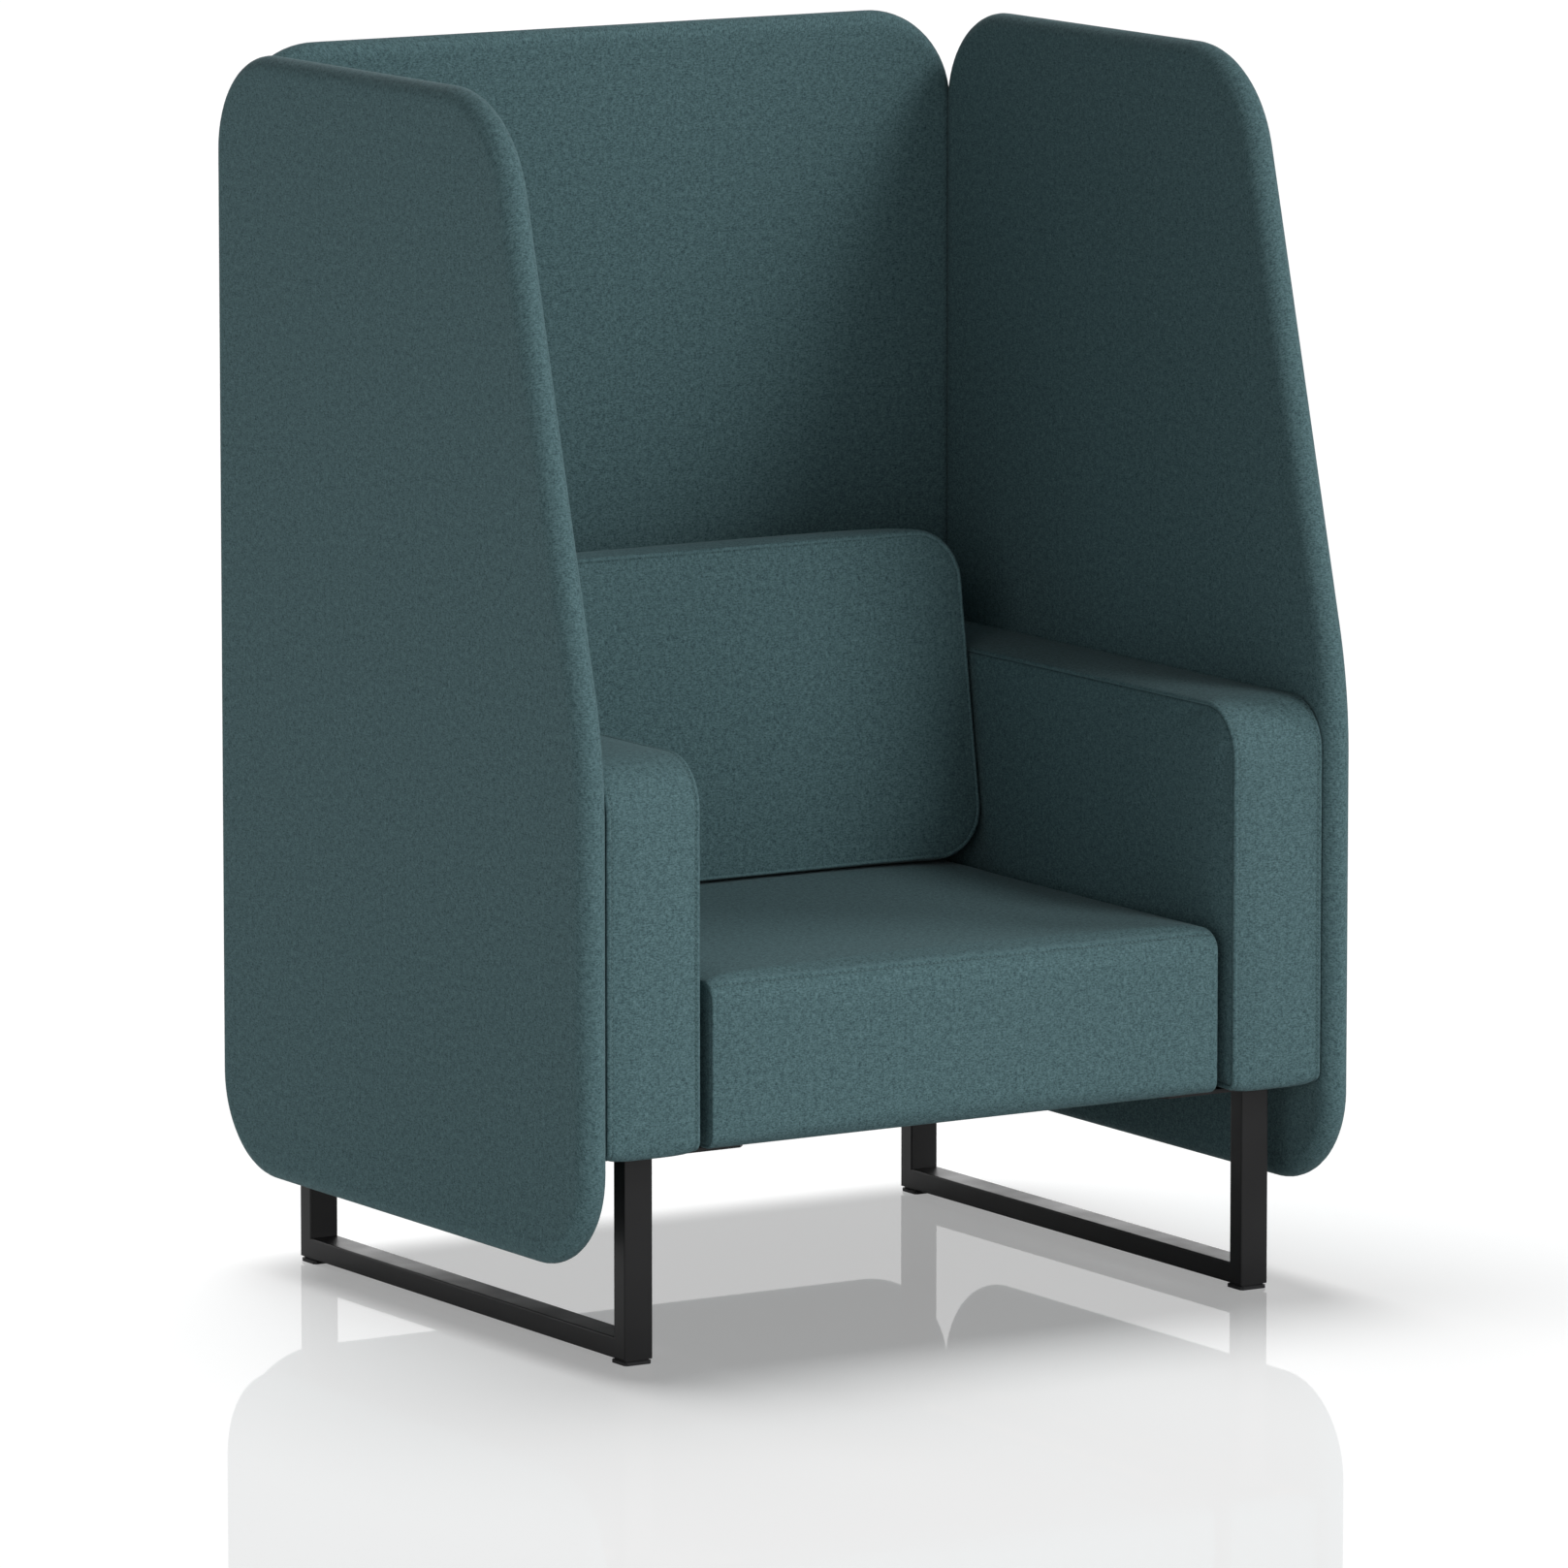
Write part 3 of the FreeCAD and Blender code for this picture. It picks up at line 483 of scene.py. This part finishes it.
def plump(piece, held, pressure, most):
    """Cloth under inner pressure: held points stay and the rest swells. Every move is shortened to most times
    tanh(move / most), so that none is longer than most."""
    frames = 20
    start = np.empty(len(piece.data.vertices) * 3)
    piece.data.vertices.foreach_get("co", start)
    start = start.reshape(-1, 3)
    group = piece.vertex_groups.new(name="held")
    group.add(np.flatnonzero(held).tolist(), 1.0, "REPLACE")
    cloth = piece.modifiers.new("swelling", "CLOTH")
    cloth.settings.quality = 4
    cloth.settings.mass = 0.4
    cloth.settings.tension_stiffness = 30
    cloth.settings.compression_stiffness = 30
    cloth.settings.bending_stiffness = 2
    cloth.settings.use_pressure = True
    cloth.settings.uniform_pressure_force = pressure
    cloth.settings.vertex_group_mass = "held"
    cloth.settings.effector_weights.gravity = 0
    cloth.collision_settings.use_collision = False
    scene = bpy.context.scene
    for step in range(1, frames + 1):
        scene.frame_set(step)
    depsgraph = bpy.context.evaluated_depsgraph_get()
    swollen = piece.evaluated_get(depsgraph).to_mesh()
    finish = np.empty(start.size)
    swollen.vertices.foreach_get("co", finish)
    move = finish.reshape(-1, 3) - start
    far = np.maximum(np.linalg.norm(move, axis=1), 1e-9)
    move *= (most * np.tanh(far / most) / far)[:, None]
    piece.modifiers.remove(cloth)
    piece.vertex_groups.remove(group)
    scene.frame_set(1)
    piece.data.vertices.foreach_set("co", (start + move).ravel())
    piece.data.update()


def soften(piece):
    """One level of subdivision over the finished form."""
    smooth = piece.modifiers.new("smooth", "SUBSURF")
    smooth.levels = smooth.render_levels = 1


def stitch_row(name, path, outward, pitch=0.0056):
    """Row of thread stitches along a path: each is a spindle of five rings of six points, laid along the path.

    A point is middle + along * length + (side * cos + outward * sin) * radius, with the radius least at the ends."""
    thread, around, near = 0.001, 6, 0.001
    step = np.linalg.norm(np.diff(path, axis=0), axis=1)
    run = np.concatenate([[0], np.cumsum(step)])
    middle_run = np.arange(pitch / 2, run[-1], pitch)

    def on_path(at, values):
        return np.stack([np.interp(at, run, values[:, axis]) for axis in range(3)], axis=1)

    middle = on_path(middle_run, path)
    along = on_path(middle_run + near, path) - on_path(middle_run - near, path)
    along /= np.maximum(np.linalg.norm(along, axis=1, keepdims=True), 1e-9)
    up = on_path(middle_run, outward)
    up -= along * np.einsum("ij,ij->i", up, along)[:, None]
    up /= np.maximum(np.linalg.norm(up, axis=1, keepdims=True), 1e-9)
    side = np.cross(along, up)
    reach = np.array([-0.5, -0.3, 0.0, 0.3, 0.5]) * 0.8 * pitch
    thick = np.array([0.2, 0.65, 0.75, 0.65, 0.2]) * thread
    lift = np.array([-0.0006, 0.0003, 0.0005, 0.0003, -0.0006])
    turn = np.arange(around) * 2 * np.pi / around
    points = (middle[:, None, None] + along[:, None, None] * reach[None, :, None, None]
              + up[:, None, None] * (lift[None, :, None, None] + thick[None, :, None, None] * np.sin(turn)[:, None])
              + side[:, None, None] * thick[None, :, None, None] * np.cos(turn)[:, None])
    index = np.arange(len(reach) * around).reshape(len(reach), around)
    beside = np.roll(index, -1, axis=1)
    quads = np.stack([index[:-1], beside[:-1], beside[1:], index[1:]], axis=-1).reshape(-1, 4)
    ends = np.array([[0, 3, 2, 1], [0, 5, 4, 3], [24, 25, 26, 27], [24, 27, 28, 29]])
    template = np.concatenate([quads, ends])
    quads = (template[None] + index.size * np.arange(len(middle))[:, None, None]).reshape(-1, 4)
    points = points.reshape(-1, 3)
    row = piece_from(name, points, quads, points[quads][:, :, [0, 2]], sewing_thread)
    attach(row, "root")
    return row


def surface_path(piece, ids):
    """Places and outward normals of a piece's own vertices, in order."""
    count = len(piece.data.vertices)
    places, normals = np.empty(count * 3), np.empty(count * 3)
    piece.data.vertices.foreach_get("co", places)
    piece.data.vertex_normals.foreach_get("vector", normals)
    return places.reshape(-1, 3)[ids], normals.reshape(-1, 3)[ids]


sewing_thread = cloth_material("teal_thread", threads=2400.0, slub=2.0, dark=(0.05, 0.1, 0.106),
                               light=(0.17, 0.28, 0.29), contrast=2.0, relief=0.4, sheen=0.05, uv_map="cloth")
teal_cloth = cloth_material("teal_heather", threads=560.0, slub=2.2, dark=(0.024, 0.053, 0.059),
                            light=(0.126, 0.217, 0.233), contrast=2.15, relief=0.15, sheen=0.04, uv_map="cloth")


def upholster(piece, fill, *covered):
    """Attach a padded piece, which stands for the foam and cover it replaces, and hide those parts."""
    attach(piece, "root")
    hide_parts(*covered)


seat_low, seat_high = (np.array(corner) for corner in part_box("seat_cover"))
seat_setback = 0.004
seat_front, seat_back = seat_low[1] + seat_setback, seat_high[1]
seat_base, seat_edge = seat_low[2], 0.451
seat_heel, seat_rear_heel, seat_rear_edge = 0.016, 0.006, 0.012
seat_rise = 0.0105
seat_round = 0.0025
seat_shoulder = 0.011
shoulder_run = 1.4 * seat_shoulder
seat_brow = 0.027
cushion_line = 0.098
seat_press, press_start, press_run = 0.52, 0.014, 0.05
slope_start, stretch_start = 0.02, 0.36
joint_depth, joint_width, joint_zone = 0.0015, 0.0014, 0.03
joint_end, joint_fade = 0.004, 0.01
ridge_height, ridge_width, ridge_way = 0.0007, 0.002, 0.0045
seat_seam = (seat_front + seat_brow * (1 - math.sqrt(0.5)), seat_edge - seat_brow * (1 - math.sqrt(0.5)))


def place_seat(y, z, share, shift):
    """Side outline carried across the width; the top rises evenly from the front to where the cushion stands and is
    pressed down under it, less towards the sides by a fourth power, and falls off in a quarter ellipse at both
    shoulders; the front edge has a narrow groove with a soft ridge above it where band and top are joined."""
    x = seat_low[0] * (1 - share) + seat_high[0] * share + shift
    along = np.clip((y - seat_front - slope_start) / (cushion_line - seat_front - slope_start), 0, 1)
    across = np.clip(np.abs(x) / seat_high[0], 0, 1)
    upper = np.clip((z - stretch_start) / (seat_edge - stretch_start), 0, 1)
    pressed = 1 - seat_press * np.clip((y - cushion_line - press_start) / press_run, 0, 1)
    crown = seat_rise * along * pressed * (1 - across ** 4) * upper
    edge = np.clip((np.abs(x) - seat_high[0]) / shoulder_run + 1, 0, 1)
    crown = crown - seat_shoulder * (1 - np.sqrt(1 - edge ** 2)) * np.clip((z - seat_edge) / joint_zone + 1, 0, 1)
    way_down = (seat_seam[0] - y + seat_seam[1] - z) / math.sqrt(2)
    ridge = ridge_height * np.exp(-((way_down + ridge_way) / ridge_width) ** 2)
    joint = joint_depth * np.exp(-(way_down / joint_width) ** 2) - ridge
    joint = joint / math.sqrt(2) * (y < seat_front + joint_zone) * (z > seat_edge - joint_zone)
    joint = joint * np.clip((seat_high[0] - np.abs(x) - joint_end) / joint_fade, 0, 1)
    return np.stack(np.broadcast_arrays(x, y + joint, z + crown - joint), axis=-1)


seat_corners = [(seat_front, seat_base, seat_heel, True), (seat_back, seat_base, seat_rear_heel, True),
                (seat_back, seat_edge, seat_rear_edge, True), (seat_front, seat_edge, seat_brow, True)]
seat_counts = (80, 34)
seat_points, seat_quads, seat_map, seat_rings = boxed_form(
    seat_corners, seat_counts,
    seamed_rings(seat_round, steps=4, between=62, depth=0.0016, reach=0.005, stitched=0),
    place_seat, bend=0.03, seam=seat_seam)
seat_joint = 2 * seat_counts[0] + seat_counts[1]
# Painted shade in the seam grooves and a painted highlight on the folded edges.
seat_seam_shading = seam_mask(seat_points, seat_rings, groove=0.4, fold_highlight=0.7, channel=0.0)
# Painted shade along the joint of band and top, and a painted highlight on the ridge just above it.
joint_shade_tone, ridge_highlight_tone = 0.5, -0.5
seat_seam_shading[seat_rings[channel_ring:-channel_ring, seat_joint]] = joint_shade_tone
seat_seam_shading[seat_rings[channel_ring:-channel_ring, seat_joint - 4:seat_joint - 2]] = ridge_highlight_tone
seat = piece_from("seat_upholstery", seat_points, seat_quads, seat_map, teal_cloth, seat_seam_shading)
resting_depth, side_depth = 0.002, 0.003
resting = (seat_points[:, 2] < seat_base + resting_depth) | (seat_points[:, 1] > cushion_line)
resting |= np.abs(seat_points[:, 0]) > seat_high[0] - side_depth
plump(seat, resting, pressure=2.0, most=0.002)
stitch_row("seat_front_stitches", *surface_path(seat, seat_rings[6:-6, seat_joint]))
soften(seat)
upholster(seat, 0.85, "seat_cover", "seat_foam")

# Arms: a boxed frame padded with foam in a sewn cover. The band of cloth over front and top is sewn to
# flat side panels, and the front ends in a soft lip that hangs just below the frame.
arm_round = 0.004
arm_heel, arm_rear_heel, arm_rear_edge, arm_brow = 0.012, 0.006, 0.012, 0.063
arm_lip, lip_way, lip_run, lip_height = 0.0045, 0.012, 0.016, 0.02
arm_top_inset = 0.0005
arm_counts = (96, 54)
stitch_start, stitch_end = 0.012, 0.02
cushion_setback, cushion_slope = 0.02, 0.158


def arm_piece(name, low, high):
    """Side outline with a round brow, carried across the arm's width; the lip sinks in a short parabola, most in the
    middle of the width, less towards the sides by a fourth power."""
    front, back, base, top = low[1], high[1], low[2] + arm_lip, high[2] - arm_top_inset

    def place(y, z, share, shift):
        x = low[0] * (1 - share) + high[0] * share + shift
        across = (2 * x - low[0] - high[0]) / (high[0] - low[0])
        dip = arm_lip * np.clip(1 - ((y - front - lip_way) / lip_run) ** 2, 0, 1)
        dip = dip * np.clip((base + lip_height - z) / lip_height, 0, 1) * (1 - across ** 4)
        return np.stack(np.broadcast_arrays(x, y, z - dip), axis=-1)

    corners = [(front, base, arm_heel, True), (back, base, arm_rear_heel, True),
               (back, top, arm_rear_edge, True), (front, top, arm_brow, True)]
    points, quads, cloth_map, rings = boxed_form(
        corners, arm_counts, seamed_rings(arm_round, steps=4, between=13, depth=0.0036, reach=0.006, stitched=1),
        place, bend=0.03)
    # The sewn values paint shade in the seam grooves and stitch channels and a highlight on the folded edges.
    piece = piece_from(name, points, quads, cloth_map, teal_cloth,
                       seam_mask(points, rings, groove=0.7, fold_highlight=1.0, channel=0.5))
    resting = (points[:, 2] < base + resting_depth) | (points[:, 1] > back - resting_depth)
    resting |= np.abs(points[:, 0]) > max(abs(low[0]), abs(high[0])) - resting_depth
    # The inner side stays flat where the cushion and the back frame press on it.
    behind = points[:, 1] > cushion_line + cushion_setback + cushion_slope * (points[:, 2] - seat_edge)
    resting |= behind & (np.abs(points[:, 0]) < min(abs(low[0]), abs(high[0])) + resting_depth)
    resting[rings[[groove_ring, channel_ring, -1 - channel_ring, -1 - groove_ring]].ravel()] = True
    plump(piece, resting, pressure=1.6, most=0.003)
    channel = points[rings[channel_ring]]
    sewn = np.flatnonzero((channel[:, 2] > base + stitch_start) & (channel[:, 1] < back - stitch_end))
    for label, ring in (("first", channel_ring), ("second", -1 - channel_ring)):
        stitch_row(name.replace("upholstery", label + "_stitches"), *surface_path(piece, rings[ring][sewn]))
    soften(piece)
    return piece


for side in ("left_", "right_"):
    arm = arm_piece(side + "arm_upholstery", *(np.array(corner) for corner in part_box(side + "arm_cover")))
    upholster(arm, 0.9, side + "arm_cover", side + "arm_foam")

# Back frame: a low box of boards and rails between the arms, padded with foam under a sewn cover. It
# holds up the cushion from behind and is bolted to the back panel.
frame_round, frame_heel, frame_rear_edge, frame_brow = 0.008, 0.006, 0.01, 0.03
frame_top_inset = 0.002
frame_low, frame_high = (np.array(corner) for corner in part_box("back_frame_cover"))


def place_back_frame(y, z, share, shift):
    """Side outline carried across the width."""
    x = frame_low[0] * (1 - share) + frame_high[0] * share + shift
    return np.stack(np.broadcast_arrays(x, y, z), axis=-1)


frame_top = frame_high[2] - frame_top_inset
frame_corners = [(frame_low[1], frame_low[2], frame_heel, True), (frame_high[1], frame_low[2], frame_heel, True),
                 (frame_high[1], frame_top, frame_rear_edge, True), (frame_low[1], frame_top, frame_brow, True)]
frame_counts = (14, 50)
frame_points, frame_quads, frame_map, frame_rings = boxed_form(
    frame_corners, frame_counts,
    seamed_rings(frame_round, steps=4, between=78, depth=0.0036, reach=0.006, stitched=0),
    place_back_frame, bend=0.03)
# The sewn values paint shade in the seam grooves and a highlight on the folded edges.
back_frame = piece_from("back_frame_upholstery", frame_points, frame_quads, frame_map, teal_cloth,
                        seam_mask(frame_points, frame_rings, groove=0.7, fold_highlight=0.6, channel=0.0))
soften(back_frame)
upholster(back_frame, 0.9, "back_frame_cover", "back_frame_foam")

# Back cushion: a boxed foam cushion with big round corners that leans against the back frame. A seam
# runs all round the edge of its front face and its back is flat.
cushion_low, cushion_high = (np.array(corner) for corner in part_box("back_cushion_cover"))
cushion_foot, cushion_lean = 0.1002, 0.064
cushion_round, cushion_corner = 0.006, 0.066
cushion_spread = 0.005
cushion_half = cushion_high[0] + cushion_spread
cushion_tilt = 0.14
cushion_crown = 0.008


def place_cushion(x, z, share, shift):
    """Front outline carried from the leaning front to the upright back, with a crowned front face; the top slopes
    down towards the back, at a right angle to the front."""
    height = (z - cushion_low[2]) / (cushion_high[2] - cushion_low[2])
    front = cushion_foot + cushion_lean * height
    dome = (1 - (x / cushion_high[0]) ** 2) * (1 - (2 * height - 1) ** 2)
    y = front * (1 - share) + cushion_high[1] * share + shift - cushion_crown * dome * (1 - share) ** 3
    return np.stack(np.broadcast_arrays(x, y, z - cushion_tilt * (y - front) * height), axis=-1)


cushion_corners = [(side * cushion_half, height, cushion_corner, True)
                   for side, height in ((-1, cushion_low[2]), (1, cushion_low[2]),
                                        (1, cushion_high[2]), (-1, cushion_high[2]))]
cushion_counts = (80, 46)
cushion_points, cushion_quads, cushion_map, cushion_rings = boxed_form(
    cushion_corners, cushion_counts,
    seamed_rings(cushion_round, steps=4, between=12, depth=0.002, reach=0.006, stitched=0),
    place_cushion, bend=0.03)
# The sewn values paint shade in the seam grooves and a highlight on the folded edges.
cushion = piece_from("back_cushion_upholstery", cushion_points, cushion_quads, cushion_map, teal_cloth,
                     seam_mask(cushion_points, cushion_rings, groove=0.3, fold_highlight=0.55, channel=0.0))
resting = cushion_points[:, 1] > cushion_high[1] - resting_depth
resting[cushion_rings[groove_ring:fold_ring + 2].ravel()] = True
plump(cushion, resting, pressure=2.5, most=0.008)
soften(cushion)
upholster(cushion, 0.7, "back_cushion_cover", "back_cushion_foam")

# Panels: plywood with foam on both faces in a tight cover, with a full round edge. The side panels have
# a sloping upper front edge; they meet the back panel edge to edge, with the padding pressed together.
panel_corner, panel_brow, panel_knee = 0.119, 0.152, 0.6
knee_height, brow_setback = 0.72, 0.2
panel_press = 0.0026
panel_rings = 15


def panel_piece(name, node_name, corners, counts, place):
    """Panel whose edge is a half circle across its thickness, carried round its outline."""
    low, high = (np.array(corner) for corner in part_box(node_name + "_cover"))
    thickness = min(high - low)
    angle = np.linspace(0, np.pi, panel_rings)
    rings = (thickness / 2 * (1 - np.sin(angle)), np.zeros(panel_rings), thickness / 2 * (1 - np.cos(angle)))
    points, quads, cloth_map = boxed_form(corners, counts, rings, place, bend=0.04)[:3]
    piece = piece_from(name, points, quads, cloth_map, teal_cloth)
    upholster(piece, 1.0, node_name + "_cover", node_name + "_inner_foam", node_name + "_outer_foam")


for side in ("left", "right"):
    low, high = (np.array(corner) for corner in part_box(side + "_panel_cover"))

    def place_side_panel(y, z, share, shift, low=low, high=high):
        """Outline in depth and height carried across the thickness."""
        x = low[0] * (1 - share) + high[0] * share + shift
        return np.stack(np.broadcast_arrays(x, y, z), axis=-1)

    side_corners = [(low[1], low[2], panel_corner, True), (high[1], low[2], panel_corner, True),
                    (high[1], high[2], panel_corner, True), (low[1] + brow_setback, high[2], panel_brow, True),
                    (low[1], knee_height, panel_knee, False)]
    panel_piece(side + "_panel_upholstery", side + "_panel", side_corners, (64, 96), place_side_panel)

panel_low, panel_high = (np.array(corner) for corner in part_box("back_panel_cover"))


def place_back_panel(x, z, share, shift):
    """Outline in width and height carried across the thickness."""
    y = panel_low[1] * (1 - share) + panel_high[1] * share + shift
    return np.stack(np.broadcast_arrays(x, y, z), axis=-1)


back_left, back_right = panel_low[0] - panel_press, panel_high[0] + panel_press
back_corners = [(back_left, panel_low[2], panel_corner, True), (back_right, panel_low[2], panel_corner, True),
                (back_right, panel_high[2], panel_corner, True), (back_left, panel_high[2], panel_corner, True)]
panel_piece("back_panel_upholstery", "back_panel", back_corners, (72, 96), place_back_panel)

# Studio: a white glossy floor with a lamp of its own, broad lamps low in front, on the left and behind, two
# smaller ones high on the right, and light from the horizon. Camera and mirrors see plain white around it.
bpy.ops.mesh.primitive_plane_add(size=400.0, location=(0, 0, 0))
floor = bpy.context.object
floor.name = "studio_floor"
floor_paint = bpy.data.materials.new("white_floor")
floor_paint.use_nodes = True
tree = floor_paint.node_tree
tree.nodes.clear()
light_path = node(tree, "ShaderNodeLightPath")
paint = node(tree, "ShaderNodeMix", {"data_type": "RGBA"}, links={"Factor": light_path.outputs["Is Camera Ray"]})
paint.inputs[mix_first].default_value = (0.85, 0.85, 0.85, 1)
paint.inputs[mix_second].default_value = (0.9, 0.9, 0.9, 1)
matt = node(tree, "ShaderNodeBsdfDiffuse", links={"Color": paint.outputs[mix_result]})
mirror = node(tree, "ShaderNodeBsdfGlossy", values={"Color": (1, 1, 1, 1), "Roughness": 0.02})
coated = node(tree, "ShaderNodeMixShader", values={"Fac": 0.2}, links={1: matt.outputs[0], 2: mirror.outputs[0]})
glow = node(tree, "ShaderNodeEmission", values={"Color": (1, 1, 1, 1)})
glow_strength = node(tree, "ShaderNodeMath", {"operation": "MULTIPLY"}, {1: 0.32},
                     {0: light_path.outputs["Is Camera Ray"]})
tree.links.new(glow_strength.outputs[0], glow.inputs["Strength"])
lit = node(tree, "ShaderNodeAddShader", links={0: coated.outputs[0], 1: glow.outputs[0]})
node(tree, "ShaderNodeOutputMaterial", links={"Surface": lit.outputs[0]})
floor.data.materials.append(floor_paint)

scene = bpy.context.scene
world = bpy.data.worlds.new("studio")
scene.world = world
world.use_nodes = True
tree = world.node_tree
tree.nodes.clear()
light_path = node(tree, "ShaderNodeLightPath")
seen = node(tree, "ShaderNodeMath", {"operation": "MAXIMUM"},
            links={0: light_path.outputs["Is Camera Ray"], 1: light_path.outputs["Is Glossy Ray"]})
seen = node(tree, "ShaderNodeMath", {"operation": "MAXIMUM"},
            links={0: seen.outputs[0], 1: light_path.outputs["Is Transmission Ray"]})
direction = node(tree, "ShaderNodeSeparateXYZ",
                 links={"Vector": node(tree, "ShaderNodeTexCoord").outputs["Generated"]})
horizon = node(tree, "ShaderNodeMapRange", {"interpolation_type": "SMOOTHSTEP"},
               {"From Min": 0.0, "From Max": 0.7, "To Min": 0.2, "To Max": 0.012},
               {"Value": direction.outputs["Z"]})
strength = node(tree, "ShaderNodeMath", {"operation": "MAXIMUM"},
                links={0: horizon.outputs["Result"], 1: seen.outputs[0]})
sky = node(tree, "ShaderNodeBackground", values={"Color": (1, 1, 1, 1)},
           links={"Strength": strength.outputs[0]})
node(tree, "ShaderNodeOutputWorld", links={"Surface": sky.outputs[0]})


def broad_lamp(name, azimuth, elevation, spread, strength):
    """Lamp at a great distance in a direction from the front, as wide as a large soft box."""
    light = bpy.data.lights.new(name, "SUN")
    light.angle, light.energy = math.radians(spread), strength
    lamp = bpy.data.objects.new(name, light)
    turn, rise = math.radians(azimuth), math.radians(elevation)
    towards = Vector((math.sin(turn) * math.cos(rise), -math.cos(turn) * math.cos(rise), math.sin(rise)))
    lamp.location = 6 * towards
    lamp.rotation_euler = towards.to_track_quat("Z", "Y").to_euler()
    scene.collection.objects.link(lamp)
    return lamp


sofa_lamps = [broad_lamp("front_lamp", azimuth=20.0, elevation=8.0, spread=38.0, strength=0.85),
              broad_lamp("left_lamp", azimuth=-50.0, elevation=8.0, spread=38.0, strength=0.63),
              broad_lamp("high_lamp", azimuth=30.0, elevation=42.0, spread=18.0, strength=1.03),
              broad_lamp("side_lamp", azimuth=75.0, elevation=42.0, spread=18.0, strength=1.03),
              broad_lamp("back_lamp", azimuth=165.0, elevation=25.0, spread=50.0, strength=0.7)]
floor_lamp = broad_lamp("floor_lamp", azimuth=180.0, elevation=68.0, spread=40.0, strength=2.3)
floor_only, all_but_floor = (bpy.data.collections.new(name) for name in ("floor_only", "all_but_floor"))
floor_only.objects.link(floor)
all_but_floor.objects.link(floor)
all_but_floor.collection_objects[0].light_linking.link_state = "EXCLUDE"
floor_lamp.light_linking.receiver_collection = floor_only
for lamp in sofa_lamps:
    lamp.light_linking.receiver_collection = all_but_floor

# Camera: a long lens from the front left, a little above seat height, framed as in the photograph.
# Place, target and lens were fitted to the sofa's straight edges and round corners.
camera_azimuth, camera_elevation = math.radians(-31.86), math.radians(8.84)
camera_distance = 14.8496
camera_target = Vector((0.0007, cad_box[0][1] + 0.42475, 0.59596))
camera_data = bpy.data.cameras.new("camera")
camera_sensor, focal_pixels, picture_pixels = 36.0, 12837.4, 1617
camera_data.sensor_width = camera_sensor
camera_data.lens = camera_sensor * focal_pixels / picture_pixels
camera = bpy.data.objects.new("camera", camera_data)
towards = Vector((math.sin(camera_azimuth) * math.cos(camera_elevation),
                  -math.cos(camera_azimuth) * math.cos(camera_elevation), math.sin(camera_elevation)))
camera.location = camera_target + camera_distance * towards
camera.rotation_euler = (-towards).to_track_quat("-Z", "Y").to_euler()
scene.collection.objects.link(camera)
scene.camera = camera
scene.view_settings.view_transform = "Standard"
